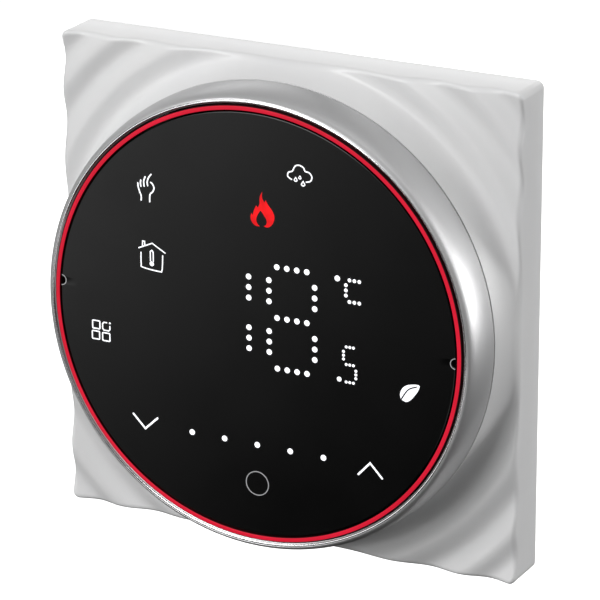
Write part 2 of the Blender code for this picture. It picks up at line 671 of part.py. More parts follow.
def power_box():
    """Open-fronted housing in the wall, cut away where the terminal block comes out."""
    half = BOX_SIDE / 2
    box = square("power_box", half, (BOX_FRONT, BOX_REAR), BOX_CORNER_R)
    before = BOX_FRONT - OVERSHOOT
    cut(box, square("inside", half - BOX_WALL, (before, BOX_REAR - BOX_WALL), 0.6))
    for x in (-POST_AT, POST_AT):
        for z in (-POST_AT, POST_AT):
            join(box, rod("post", POST_R, (BOX_FRONT + 0.1, POST_END), (x, z)))
    for x in (-POST_AT, POST_AT):
        for z in (-POST_AT, POST_AT):
            cut(box, rod("pilot", BOX_SCREW_HOLE_R, (before, POST_END - POST_SKIN), (x, z),
                         SCREW_STEPS))
    cut(box, slab("terminals", around(0.0, BLOCK_HALF_WIDTH + GAP),
                  (BLOCK_FRONT - GAP, BOX_REAR + OVERSHOOT),
                  (BLOCK_LOW_Z - OVERSHOOT, BLOCK_HIGH_Z + GAP)))
    for row in in_a_row(BOX_VENTS, BOX_VENT_PITCH):
        for side in (-1, 1):
            cut(box, slab("vent", around(side * half, 3.0), BOX_VENT_Y,
                          around(BOX_VENT_MIDDLE_Z + row, BOX_VENT_HALF)))
    return finish(box, "white_plastic")


def power_board():
    half = BOX_SIDE / 2 - BOX_WALL - BOARD_CLEARANCE
    board = square("power_board", half, (BASE_BOARD_FRONT, BASE_BOARD_REAR))
    through = (BASE_BOARD_FRONT - OVERSHOOT, BASE_BOARD_REAR + OVERSHOOT)
    for x in (-POST_AT, POST_AT):
        for z in (-POST_AT, POST_AT):
            cut(board, rod("notch", POST_R + GAP, through, (x, z)))
    return finish(board, "circuit_board")


def board_parts():
    """What stands on the power board: supply, capacitor, surge disc and fuse."""
    start = PARTS_FRONT
    finish(slab("supply_module", SUPPLY_X, (start, start + SUPPLY_HIGH), SUPPLY_Z, 0.8),
           "chip_black")
    full, crimp, bevel = CAPACITOR_R, CAPACITOR_R - 0.2, 0.4
    can = turned("capacitor", [(full - bevel, start), (full, start + bevel), (full, start + 1.4),
                               (crimp, start + 1.7), (full, start + 2.0),
                               (full, start + CAPACITOR_HIGH - bevel),
                               (full - bevel, start + CAPACITOR_HIGH)],
                 ROUND_STEPS, CAPACITOR_AT)
    finish(can, "blue_resin")
    face_r, rim = SURGE_R - 1.4, SURGE_HALF_THICK - 0.4
    disc = turned("surge_disc", [(face_r, -SURGE_HALF_THICK), (SURGE_R, -rim), (SURGE_R, rim),
                                 (face_r, SURGE_HALF_THICK)], ROUND_STEPS)
    disc.data.transform(Matrix.Rotation(math.pi / 2, 4, "Z"))
    disc.location = Vector((SURGE_AT[0], start + SURGE_LIFT, SURGE_AT[1])) * MM
    finish(disc, "blue_resin")
    fuse = turned("fuse", [(FUSE_R, start), (FUSE_R, start + FUSE_HIGH - bevel),
                           (FUSE_R - bevel, start + FUSE_HIGH)], ROUND_STEPS, FUSE_AT)
    finish(fuse, "black_plastic")


def header_socket():
    socket = slab("header_socket", around(0.0, SOCKET_HALF_X),
                  (SOCKET_FRONT, BASE_BOARD_FRONT - GAP), around(HEADER_Z, SOCKET_HALF_Z))
    half = (PIN_SIDE + GAP) / 2
    for x in in_a_row(HEADER_PINS, HEADER_PITCH):
        cut(socket, slab("way", around(x, half), (SOCKET_FRONT - OVERSHOOT, PIN_TIP + 1.0),
                         around(HEADER_Z, half)))
    return finish(socket, "black_plastic")


def wall_side_screws():
    """Four screws hold the bracket to the power box, and two longer ones hold it to the wall."""
    raised = -(BRACKET_STEP + BRACKET_THICK + GAP)
    places = [(x, raised, z) for x in (-POST_AT, POST_AT) for z in (-POST_AT, POST_AT)]
    first = screw("bracket_screw", *BRACKET_SCREW)
    for piece in copies(first, "bracket_screw", places):
        finish(piece, "steel")
    frame = -(BRACKET_THICK + GAP)
    places = [(side * WALL_SCREW_AT, frame, 0.0) for side in (-1, 1)]
    first = screw("wall_screw", *WALL_SCREW)
    for piece in copies(first, "wall_screw", places):
        finish(piece, "steel")


def terminal_block():
    """Moulded strip with a chamber for each clamp, open to the rear, and a wire hole below."""
    block = slab("terminal_block", (-BLOCK_HALF_WIDTH, BLOCK_HALF_WIDTH),
                 (BLOCK_FRONT, BLOCK_REAR), (BLOCK_LOW_Z, BLOCK_HIGH_Z))
    low, high = TERMINAL_Z - CHAMBER_HALF, TERMINAL_Z + CHAMBER_HALF
    for x in in_a_row(TERMINALS, TERMINAL_PITCH):
        cut(block, slab("chamber", around(x, CHAMBER_HALF),
                        (CHAMBER_FRONT, BLOCK_REAR + OVERSHOOT), (low, high)))
        cut(block, turned("wire_way", [(WIRE_HOLE_R, BLOCK_LOW_Z - OVERSHOOT),
                                       (WIRE_HOLE_R, low + WIRE_HOLE_BITE)],
                          SCREW_STEPS, (x, WIRE_HOLE_Y), axis="Z"))
    return finish(block, "green_plastic")


def terminal_screws_and_clamps():
    """Each screw turns on its own axis and draws its square clamp along it."""
    first = slotted_screw("terminal_screw", *TERMINAL_SCREW)
    row = in_a_row(TERMINALS, TERMINAL_PITCH)
    places = [(x, TERMINAL_SCREW_HEAD, TERMINAL_Z) for x in row]
    for piece in copies(first, "terminal_screw", places):
        finish(piece, "steel")
    clamp = slab("wire_clamp", (-CLAMP_HALF, CLAMP_HALF), (CLAMP_FRONT, CLAMP_REAR),
                 (-CLAMP_HALF, CLAMP_HALF))
    inner = CLAMP_HALF - CLAMP_WALL
    cut(clamp, slab("throat", (-inner, inner), (CLAMP_FRONT + CLAMP_WALL, CLAMP_REAR - CLAMP_WALL),
                    (-CLAMP_HALF - 1.0, CLAMP_HALF + 1.0)))
    cut(clamp, rod("screw_way", CLAMP_HOLE_R, (CLAMP_REAR - CLAMP_WALL - 0.5, CLAMP_REAR + 1.0),
                   (0.0, 0.0), SCREW_STEPS))
    places = [(x, 0.0, TERMINAL_Z) for x in row]
    for piece in copies(clamp, "wire_clamp", places):
        finish(piece, "brass")


def relay(armature):
    """The switching relay: a coil round a core, a hinged armature and a pair of contacts."""
    x0, x1 = RELAY_X - RELAY_HALF_X, RELAY_X + RELAY_HALF_X
    z0, z1 = RELAY_Z - RELAY_HALF_Z, RELAY_Z + RELAY_HALF_Z
    foot = PARTS_FRONT + RELAY_BASE_THICK
    finish(slab("relay_base", (x0, x1), (PARTS_FRONT, foot), (z0, z1)), "black_plastic")

    cover = slab("relay_cover", (x0, x1), (foot + GAP, RELAY_REAR), (z0, z1), 0.6)
    cut(cover, slab("inside", (x0 + RELAY_SKIN, x1 - RELAY_SKIN),
                    (foot - 1.0, RELAY_REAR - RELAY_SKIN), (z0 + RELAY_SKIN, z1 - RELAY_SKIN)))
    finish(cover, "black_plastic")

    coil_x = PIVOT.x + COIL_FROM_PIVOT
    floor = foot + GAP
    seat = floor + YOKE_FOOT_THICK + GAP
    pole_front = POLE_REAR - POLE_THICK
    coil_rear = pole_front - GAP
    coil = turned("relay_coil", [
        (COIL_CORE_R, seat), (COIL_FLANGE_R, seat), (COIL_FLANGE_R, seat + COIL_FLANGE),
        (COIL_WIRE_R, seat + COIL_FLANGE), (COIL_WIRE_R, coil_rear - COIL_FLANGE),
        (COIL_FLANGE_R, coil_rear - COIL_FLANGE), (COIL_FLANGE_R, coil_rear),
        (COIL_CORE_R, coil_rear),
    ], ROUND_STEPS, (coil_x, RELAY_Z), closed=True)
    finish(coil, "copper")

    yoke = slab("relay_yoke", around(PIVOT.x, YOKE_THICK / 2), (floor, PIVOT.y - GAP),
                around(RELAY_Z, YOKE_HALF_WIDTH))
    join(yoke, slab("foot", (PIVOT.x, coil_x + POLE_R), (floor + 0.01, floor + YOKE_FOOT_THICK),
                    around(RELAY_Z, YOKE_HALF_WIDTH - 0.1)))
    join(yoke, rod("core", CORE_R, (floor + 0.3, pole_front), (coil_x, RELAY_Z)))
    join(yoke, rod("pole", POLE_R, (pole_front, POLE_REAR), (coil_x, RELAY_Z)))
    finish(yoke, "steel")

    leaf_tip = x1 - RELAY_SKIN - 0.9
    contact_x = leaf_tip - CONTACT_R - GAP
    plate_front = PIVOT.y + GAP
    plate = slab("relay_armature", (PIVOT.x - 0.8, coil_x + COIL_WIRE_R - 0.4),
                 (plate_front, plate_front + ARMATURE_THICK),
                 around(RELAY_Z, ARMATURE_HALF_WIDTH), 0.8)
    finish(plate, "steel", armature)
    leaf_front = plate_front + ARMATURE_THICK + GAP
    button = leaf_front - BITE
    leaf = slab("contact_spring", (PIVOT.x + 1.0, leaf_tip),
                (leaf_front, leaf_front + LEAF_THICK), around(RELAY_Z, LEAF_HALF_WIDTH), 0.6)
    join(leaf, rod("contact", CONTACT_R, (button, leaf_front + LEAF_THICK / 2),
                   (contact_x, RELAY_Z), SCREW_STEPS))
    finish(leaf, "copper", armature)

    fixed_rear = button - CONTACT_GAP
    fixed = slab("fixed_contact", around(contact_x, 0.9), (floor, fixed_rear - 0.5),
                 around(RELAY_Z, 1.5))
    join(fixed, rod("contact", CONTACT_R, (fixed_rear - 0.8, fixed_rear), (contact_x, RELAY_Z),
                    SCREW_STEPS))
    finish(fixed, "copper")


def main():
    clear_scene()
    panel = empty("front_panel_slide", (0.0, 0.0, 0.0))
    armature = empty("relay_armature_hinge", PIVOT)

    wave_plate(panel)
    bezel_ring(panel)
    light_ring(panel)
    glass_disc(panel)
    light_baffle(panel)
    display_parts(panel)
    pin_header(panel)
    touch_springs(panel)
    ntc_sensor(panel)
    rear_cover(panel)
    panel_screws(panel)

    mounting_bracket()
    power_lid()
    power_box()
    power_board()
    board_parts()
    header_socket()
    wall_side_screws()
    terminal_block()
    terminal_screws_and_clamps()
    relay(armature)


main()
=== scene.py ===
import json
import math

import bmesh
import bpy
from mathutils import Matrix, Vector

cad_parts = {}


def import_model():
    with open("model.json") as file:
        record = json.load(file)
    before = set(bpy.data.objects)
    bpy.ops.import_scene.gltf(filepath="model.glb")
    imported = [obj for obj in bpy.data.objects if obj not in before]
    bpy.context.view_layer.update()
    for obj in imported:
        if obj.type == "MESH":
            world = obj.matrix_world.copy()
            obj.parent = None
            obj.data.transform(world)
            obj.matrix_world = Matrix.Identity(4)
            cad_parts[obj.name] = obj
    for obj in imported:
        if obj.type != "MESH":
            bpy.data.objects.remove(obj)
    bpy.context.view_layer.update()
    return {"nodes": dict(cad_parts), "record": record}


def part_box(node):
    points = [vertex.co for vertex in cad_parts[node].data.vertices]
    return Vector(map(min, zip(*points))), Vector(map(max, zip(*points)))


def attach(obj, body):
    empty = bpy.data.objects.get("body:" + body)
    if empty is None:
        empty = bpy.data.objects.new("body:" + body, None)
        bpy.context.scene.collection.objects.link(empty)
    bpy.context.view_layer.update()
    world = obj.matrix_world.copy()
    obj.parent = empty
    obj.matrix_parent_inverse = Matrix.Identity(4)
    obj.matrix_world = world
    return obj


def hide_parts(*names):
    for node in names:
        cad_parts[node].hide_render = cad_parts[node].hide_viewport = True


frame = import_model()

MM = 0.001
ARC_MIDDLE = 0.3             # about where a quarter arc's middle lies, as a share of its radius
SMOOTH_ANGLE = 35.0          # edges sharper than this, in degrees, are shaded hard
PAST = 1.0                   # how far a cutter reaches past the surface that it cuts
FRONT = "front_panel"
WALL = "wall_side"


def box_mm(node):
    """The lowest and highest corners of a CAD node, in millimetres."""
    low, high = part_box(node)
    return low / MM, high / MM


# ---- driving dimensions, in millimetres; "depth" is the distance in front of the wall ----
PLATE_HALF = box_mm("wave_plate")[1].x
PLATE_CORNER_R = 1.3
SMALLEST_CORNER_R = 0.5      # for the loops that lie further in than the corner's radius
PLATE_DEPTH = 8.5
PLATE_WALL = 2.0
PLATE_INNER_DEPTH = 6.9
PLATE_EDGE_R = 0.8
PLATE_POINT_SPACING = 0.8
VENT_COUNT = 7
VENT_PITCH = 4.0
VENT_HALF = 0.7
VENT_DEPTHS = (1.6, 5.6)
PLATE_INNER_CHAMFER = 0.3
CORNER_STEPS = 12
EDGE_STEPS = 6
RIM_R = 0.25
SIDE_LOOP_DEPTH = 4.0        # an extra loop of points on the straight side wall
FLANGE_R = 36.5
FLANGE_DEPTH = 8.4
OPENING_R = 40.0
OPENING_CHAMFER = 0.15
RIPPLE_HEIGHT = 0.5
RIPPLE_LENGTH = 6.7
RIPPLE_CREST_R = 47.2        # the first crest outside the flare
FLARE_POWER = 2.2            # how late the flare between bezel and ripples turns up
FRONT_STEPS = 72

SEAM_LIP = 0.3               # from the plate's highest point forward to the bezel's foot
SEAM_R = box_mm("bezel_ring")[1].x
SEAM_DEPTH = -box_mm("wave_plate")[0].y + SEAM_LIP
SEAM_BREAK = 0.12            # the bevel on the bezel's foot
BEZEL_TOP_DEPTH = -box_mm("bezel_ring")[0].y
BEZEL_TOP_R = 39.05
BEZEL_INNER_R = 38.45
TRIM_R = 0.18                # half the bright edge's height; it is wider by TRIM_WIDEN each way
TRIM_WIDEN = 0.09
TRIM_INSET = 0.22
TRIM_SMOOTH_ANGLE = 80.0
BEZEL_FLANK_BASE = 0.5       # height of the flank's straight foot
BEZEL_TAIL_GAP = 0.3         # between the bezel's tail and the plate's flange
BEZEL_LIP = 0.35             # the bevel inside the bezel's front edge
BEZEL_TAIL_R = 36.0
BEZEL_TAIL_OUTER_R = 39.7
BEZEL_SHELF_DEPTH = 14.2
ROUND_STEPS = 360

GLASS_R = box_mm("glass_disc")[1].x
GLASS_DEPTH = -box_mm("glass_disc")[0].y
RING_GAP = 0.05
RING_OUTER_R = box_mm("light_ring")[1].x - RING_GAP
RING_INNER_R = 37.4
RING_EDGE_R = 0.1
RING_DEPTH = GLASS_DEPTH + RING_EDGE_R
RING_BACK_DEPTH = -box_mm("light_ring")[1].y

GLASS_BACK_DEPTH = -box_mm("glass_disc")[1].y
GLASS_EDGE = 0.15
GLASS_RINGS = (0.94, 0.75, 0.5, 0.25, 0.05)  # rings of faces on its flats, as shares of radius
GLASS_SMOOTH_ANGLE = 15.0
NOTCH_R = 0.65
NOTCH_STEPS = 16
NOTCH_RIM_GAP = 0.26
NOTCH_RIM_LINE = 0.14
NOTCH_ANGLES = (90.5, -86.0) # degrees clockwise from the top
PRINT_THICK = 0.03
PRINT_SHIFT_X = 0.54         # from the camera fit that the print was measured with to the last one
PRINT_SHIFT_Z = 0.15


# ---- materials ------------------------------------------------------------------------
def new_material(name):
    """A material with its nodes and links."""
    made = bpy.data.materials.new(name)
    made.use_nodes = True
    return made, made.node_tree.nodes, made.node_tree.links


def noise(nodes, links, scale, detail, stretch=(1.0, 1.0, 1.0)):
    """Noise in the row frame; scale is in features per metre and stretch is per axis."""
    place = nodes.new("ShaderNodeTexCoord")
    mapping = nodes.new("ShaderNodeMapping")
    mapping.inputs["Scale"].default_value = stretch
    texture = nodes.new("ShaderNodeTexNoise")
    texture.inputs["Scale"].default_value = scale
    texture.inputs["Detail"].default_value = detail
    links.new(place.outputs["Object"], mapping.inputs["Vector"])
    links.new(mapping.outputs["Vector"], texture.inputs["Vector"])
    return texture.outputs["Fac"]


def finish_of(name, dark, light, roughness, grain, bump, metallic=0.0, cloud=60.0,
              stretch=(1.0, 1.0, 1.0), **sockets):
    """A moulded, plated or coated finish: clouded colour, uneven gloss and a fine grain.

    dark and light bound the colour and roughness gives its two ends; grain is the bump's
    feature count per metre, bump its depth in micrometres, cloud the colour's scale.
    """
    made, nodes, links = new_material(name)
    shader = nodes["Principled BSDF"]
    shader.inputs["Metallic"].default_value = metallic
    for socket, value in sockets.items():
        shader.inputs[socket.replace("_", " ")].default_value = value

    ramp = nodes.new("ShaderNodeValToRGB")
    ramp.color_ramp.elements[0].position = 0.3
    ramp.color_ramp.elements[0].color = (*dark, 1.0)
    ramp.color_ramp.elements[1].position = 0.7
    ramp.color_ramp.elements[1].color = (*light, 1.0)
    links.new(noise(nodes, links, cloud, 4.0, stretch), ramp.inputs["Fac"])
    links.new(ramp.outputs["Color"], shader.inputs["Base Color"])

    gloss = nodes.new("ShaderNodeMapRange")
    gloss.inputs["From Min"].default_value = 0.3
    gloss.inputs["From Max"].default_value = 0.7
    gloss.inputs["To Min"].default_value = roughness[0]
    gloss.inputs["To Max"].default_value = roughness[1]
    links.new(noise(nodes, links, grain * 0.2, 3.0, stretch), gloss.inputs["Value"])
    links.new(gloss.outputs["Result"], shader.inputs["Roughness"])

    relief = nodes.new("ShaderNodeBump")
    relief.inputs["Strength"].default_value = 1.0
    relief.inputs["Distance"].default_value = bump * 1e-6
    links.new(noise(nodes, links, grain, 2.0, stretch), relief.inputs["Height"])
    links.new(relief.outputs["Normal"], shader.inputs["Normal"])
    return made


def glowing(name, dim, bright, strength, cloud, base):
    """A lit print or light guide whose brightness wanders a little along it."""
    made, nodes, links = new_material(name)
    shader = nodes["Principled BSDF"]
    shader.inputs["Base Color"].default_value = (*base, 1.0)
    shader.inputs["Roughness"].default_value = 0.35
    shader.inputs["Specular IOR Level"].default_value = 0.15
    shader.inputs["Emission Strength"].default_value = strength
    ramp = nodes.new("ShaderNodeValToRGB")
    ramp.color_ramp.elements[0].position = 0.35
    ramp.color_ramp.elements[0].color = (*dim, 1.0)
    ramp.color_ramp.elements[1].position = 0.65
    ramp.color_ramp.elements[1].color = (*bright, 1.0)
    links.new(noise(nodes, links, cloud, 3.0), ramp.inputs["Fac"])
    links.new(ramp.outputs["Color"], shader.inputs["Emission Color"])
    return made


MATERIALS = {
    "plate_satin": finish_of("plate_satin", (0.74, 0.74, 0.745), (0.77, 0.77, 0.77),
                             (0.36, 0.39), 3500.0, 1.5),
    "bezel_silver": finish_of("bezel_silver", (0.55, 0.55, 0.555), (0.57, 0.57, 0.575),
                              (0.38, 0.42), 9000.0, 0.3, metallic=0.6, cloud=25.0),
    "bezel_trim": finish_of("bezel_trim", (0.80, 0.80, 0.81), (0.86, 0.86, 0.87),
                            (0.12, 0.18), 6000.0, 0.5, metallic=1.0),
    "black_glass": finish_of("black_glass", (0.0, 0.0, 0.0), (0.002, 0.002, 0.002),
                             (0.22, 0.25), 400.0, 0.1, cloud=30.0, Specular_IOR_Level=0.26),
    "red_light": glowing("red_light", (0.54, 0.007, 0.026), (0.64, 0.010, 0.034), 1.0, 90.0,
                         (0.12, 0.004, 0.008)),
    # painted shade: near-black red on the light ring's side walls, standing in for the shadow in the
    # gaps beside the ring
    "ring_wall_painted_shade": finish_of("ring_wall_painted_shade", (0.03, 0.002, 0.003), (0.05, 0.003, 0.005), (0.5, 0.6),
                           3000.0, 2.0),
    "print_white": glowing("print_white", (0.84, 0.86, 0.90), (0.95, 0.96, 1.0), 1.0, 300.0,
                           (0.6, 0.6, 0.6)),
    "print_grey": glowing("print_grey", (0.20, 0.20, 0.21), (0.26, 0.26, 0.27), 1.0, 300.0,
                          (0.2, 0.2, 0.2)),
    "print_red": glowing("print_red", (0.62, 0.006, 0.010), (1.0, 0.013, 0.016), 1.0, 300.0,
                         (0.05, 0.0, 0.0)),
    "black_plastic": finish_of("black_plastic", (0.018, 0.018, 0.019), (0.028, 0.028, 0.03),
                               (0.42, 0.52), 4500.0, 8.0),
    "circuit_board": finish_of("circuit_board", (0.012, 0.11, 0.045), (0.02, 0.16, 0.07),
                               (0.3, 0.4), 1500.0, 6.0, cloud=350.0),
    "white_plastic": finish_of("white_plastic", (0.72, 0.72, 0.70), (0.78, 0.78, 0.76),
                               (0.40, 0.50), 4500.0, 8.0),
    "steel": finish_of("steel", (0.42, 0.43, 0.43), (0.56, 0.56, 0.54), (0.38, 0.50), 2500.0,
                       4.0, metallic=1.0, cloud=240.0),
    "brass": finish_of("brass", (0.62, 0.43, 0.18), (0.76, 0.56, 0.27), (0.22, 0.36), 2500.0,
                       4.0, metallic=1.0, cloud=400.0),
    "copper": finish_of("copper", (0.60, 0.27, 0.14), (0.74, 0.38, 0.22), (0.22, 0.34), 4000.0,
                        10.0, metallic=1.0, stretch=(1.0, 12.0, 1.0)),
    "blue_resin": finish_of("blue_resin", (0.02, 0.07, 0.34), (0.035, 0.11, 0.46),
                            (0.28, 0.4), 1200.0, 12.0),
    "green_plastic": finish_of("green_plastic", (0.035, 0.24, 0.11), (0.055, 0.31, 0.15),
                               (0.40, 0.50), 4500.0, 8.0),
    "chip_black": finish_of("chip_black", (0.013, 0.013, 0.013), (0.024, 0.024, 0.024),
                            (0.5, 0.62), 3000.0, 10.0),
}


# ---- mesh helpers ---------------------------------------------------------------------
def new_piece(name, bm, material, body, angle=SMOOTH_ANGLE):
    """Turn a bmesh in millimetres into a shaded piece that rides on a body."""
    bmesh.ops.remove_doubles(bm, verts=bm.verts, dist=1e-5)
    bmesh.ops.recalc_face_normals(bm, faces=bm.faces)
    bmesh.ops.scale(bm, vec=(MM, MM, MM), verts=bm.verts)
    mesh = bpy.data.meshes.new(name)
    bm.to_mesh(mesh)
    bm.free()
    mesh.shade_smooth()
    mesh.set_sharp_from_angle(angle=math.radians(angle))
    mesh.materials.append(MATERIALS[material])
    made = bpy.data.objects.new(name, mesh)
    bpy.context.scene.collection.objects.link(made)
    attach(made, body)
    return made


def loft(loops, wrap):
    """Skin loops of equal point counts; wrap joins the last to the first, else both are capped."""
    bm = bmesh.new()
    rings = [[bm.verts.new(point) for point in loop] for loop in loops]
    pairs = list(zip(rings, rings[1:]))
    if wrap:
        pairs.append((rings[-1], rings[0]))
    else:
        bm.faces.new(rings[0])
        bm.faces.new(rings[-1])
    for near, far in pairs:
        for i in range(len(near)):
            j = (i + 1) % len(near)
            bm.faces.new((near[i], near[j], far[j], far[i]))
    return bm


def circle(radius, y, steps, centre=(0.0, 0.0)):
    """Points round a circle in a plane across Y."""
    points = []
    for step in range(steps):
        turn = 2 * math.pi * step / steps
        points.append((centre[0] + radius * math.sin(turn), y,
                       centre[1] + radius * math.cos(turn)))
    return points


def turned(profile, steps, wrap, centre=(0.0, 0.0)):
    """A body of revolution along Y from (radius, depth) points."""
    return loft([circle(radius, -depth, steps, centre) for radius, depth in profile], wrap)


def on_circle(radius, degrees):
    """The (x, z) point at an angle clockwise from the top."""
    turn = math.radians(degrees)
    return radius * math.sin(turn), radius * math.cos(turn)


# ---- the rippled plate ----------------------------------------------------------------
def plate_depth(radius):
    """Depth of the plate's front: a flare up to the bezel, then round ripples."""
    trough_r = RIPPLE_CREST_R - RIPPLE_LENGTH / 2
    trough = PLATE_DEPTH - RIPPLE_HEIGHT
    if radius < trough_r:
        rise = (trough_r - radius) / (trough_r - SEAM_R)
        return trough + (SEAM_DEPTH - SEAM_LIP - trough) * rise ** FLARE_POWER
    wave = 2 * math.pi * (radius - RIPPLE_CREST_R) / RIPPLE_LENGTH
    return PLATE_DEPTH + RIPPLE_HEIGHT * math.cos(wave)


def outline_directions():
    """Unit (x, z) directions to points spaced evenly round the plate's outline."""
    straight = PLATE_HALF - PLATE_CORNER_R
    count = round(2 * straight / PLATE_POINT_SPACING)
    quarter = []
    for i in range(count):
        quarter.append(Vector((-straight + 2 * straight * i / count, PLATE_HALF)))
    for i in range(CORNER_STEPS):
        turn = math.pi / 2 * i / CORNER_STEPS
        quarter.append(Vector((straight + PLATE_CORNER_R * math.sin(turn),
                               straight + PLATE_CORNER_R * math.cos(turn))))
    directions = []
    for side in range(4):
        turn = Matrix.Rotation(-math.pi / 2 * side, 2)
        directions += [(turn @ point).normalized() for point in quarter]
    return directions


def square_reach(direction, half, corner):
    """Distance from the centre to a rounded square's edge along a direction."""
    a, b = abs(direction.x), abs(direction.y)
    reach = half / max(a, b)
    inner = half - corner
    if min(a, b) * reach <= inner:
        return reach
    middle = inner * (a + b)
    return middle + math.sqrt(max(middle ** 2 - 2 * inner ** 2 + corner ** 2, 0.0))


def plate_loops():
    """The plate's cross-section, from the seam over the front and round to the flange."""
    directions = outline_directions()

    def loop(reach, depth):
        made = []
        for direction in directions:
            radius = reach(direction)
            made.append((direction.x * radius, -depth(radius), direction.y * radius))
        return made

    def square_at(inset):
        corner = max(PLATE_CORNER_R - inset, SMALLEST_CORNER_R)
        return lambda direction: square_reach(direction, PLATE_HALF - inset, corner)

    edge = square_at(PLATE_EDGE_R)
    loops = []
    for step in range(FRONT_STEPS + 1):
        share = step / FRONT_STEPS
        loops.append(loop(lambda d, s=share: SEAM_R + (edge(d) - SEAM_R) * s, plate_depth))
    for step in range(1, EDGE_STEPS + 1):
        turn = math.pi / 2 * step / EDGE_STEPS
        inset = PLATE_EDGE_R * (1 - math.sin(turn))
        drop = PLATE_EDGE_R * (1 - math.cos(turn))
        loops.append(loop(square_at(inset), lambda r, d=drop: plate_depth(r) - d))
    for inset, depth in ((0.0, SIDE_LOOP_DEPTH), (0.0, RIM_R), (RIM_R * ARC_MIDDLE, RIM_R * ARC_MIDDLE),
                         (RIM_R, 0.0), (PLATE_WALL - RIM_R, 0.0), (PLATE_WALL, RIM_R),
                         (PLATE_WALL, PLATE_INNER_DEPTH - PLATE_INNER_CHAMFER),
                         (PLATE_WALL + PLATE_INNER_CHAMFER, PLATE_INNER_DEPTH)):
        loops.append(loop(square_at(inset), lambda r, d=depth: d))
    for radius, depth in ((SEAM_R, PLATE_INNER_DEPTH), (FLANGE_R, PLATE_INNER_DEPTH),
                          (FLANGE_R, FLANGE_DEPTH), (OPENING_R, FLANGE_DEPTH),
                          (OPENING_R, SEAM_DEPTH - SEAM_LIP - OPENING_CHAMFER),
                          (OPENING_R + OPENING_CHAMFER, SEAM_DEPTH - SEAM_LIP)):
        loops.append(loop(lambda d, r=radius: r, lambda r, d=depth: d))
    return loops


def wave_plate():
    """The rippled plate with the vents in its lower edge."""
    plate = new_piece("plate_fine", loft(plate_loops(), wrap=True), "plate_satin", FRONT)
    vents = bmesh.new()
    for number in range(VENT_COUNT):
        x = (number - (VENT_COUNT - 1) // 2) * VENT_PITCH
        block(vents, (x - VENT_HALF, x + VENT_HALF), (-VENT_DEPTHS[1], -VENT_DEPTHS[0]),
              (-PLATE_HALF - PAST, -PLATE_HALF + PLATE_WALL + PAST))
    carve(plate, vents, SMOOTH_ANGLE)
    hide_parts("wave_plate")


# ---- bezel, light ring and glass ------------------------------------------------------
def bezel():
    """The satin ring with its bright turned edge."""
    rise = BEZEL_TOP_DEPTH - SEAM_DEPTH - BEZEL_FLANK_BASE
    flank_steps, bead_steps = 24, 12
    bulge = SEAM_R - BEZEL_TOP_R
    flank = []
    for step in range(flank_steps + 1):
        turn = math.pi / 2 * step / flank_steps
        flank.append((BEZEL_TOP_R + bulge * math.sin(turn),
                      BEZEL_TOP_DEPTH - rise + rise * math.cos(turn)))
    profile = flank + [
        (SEAM_R, SEAM_DEPTH + SEAM_BREAK),
        (SEAM_R - SEAM_BREAK, SEAM_DEPTH),
        (BEZEL_TAIL_OUTER_R, SEAM_DEPTH),
        (BEZEL_TAIL_OUTER_R, FLANGE_DEPTH + BEZEL_TAIL_GAP),
        (BEZEL_TAIL_R, FLANGE_DEPTH + BEZEL_TAIL_GAP),
        (BEZEL_TAIL_R, BEZEL_SHELF_DEPTH),
        (BEZEL_INNER_R, BEZEL_SHELF_DEPTH),
        (BEZEL_INNER_R, BEZEL_TOP_DEPTH - BEZEL_LIP),
    ]
    ring = new_piece("bezel_fine", turned(profile, ROUND_STEPS, wrap=True), "bezel_silver",
                     FRONT)
    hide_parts("bezel_ring")

    middle = BEZEL_TOP_R - TRIM_INSET
    bead = []
    for step in range(bead_steps):
        turn = 2 * math.pi * step / bead_steps
        bead.append((middle + (TRIM_R + TRIM_WIDEN) * math.sin(turn),
                     BEZEL_TOP_DEPTH - TRIM_R + TRIM_R * math.cos(turn)))
    new_piece("bezel_trim", turned(bead, ROUND_STEPS, wrap=True), "bezel_trim", FRONT,
              angle=TRIM_SMOOTH_ANGLE)


def light_ring():
    """The red light guide: lit on its face; its walls are coloured near black as painted shade."""
    lit_face_tilt = -0.3
    profile = [(RING_INNER_R, RING_BACK_DEPTH)]
    for step in range(EDGE_STEPS + 1):
        turn = math.pi / 2 * step / EDGE_STEPS
        profile.append((RING_INNER_R + RING_EDGE_R * (1 - math.cos(turn)),
                        RING_DEPTH - RING_EDGE_R * (1 - math.sin(turn))))
    for step in range(EDGE_STEPS + 1):
        turn = math.pi / 2 * step / EDGE_STEPS
        profile.append((RING_OUTER_R - RING_EDGE_R * (1 - math.sin(turn)),
                        RING_DEPTH - RING_EDGE_R * (1 - math.cos(turn))))
    profile.append((RING_OUTER_R, RING_BACK_DEPTH))
    ring = new_piece("light_ring_fine", turned(profile, ROUND_STEPS, wrap=True), "red_light",
                     FRONT)
    ring.data.materials.append(MATERIALS["ring_wall_painted_shade"])
    # faces turned away from the front get the near-black painted shade
    for face in ring.data.polygons:
        if face.normal.y > lit_face_tilt:
            face.material_index = 1
    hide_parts("light_ring")


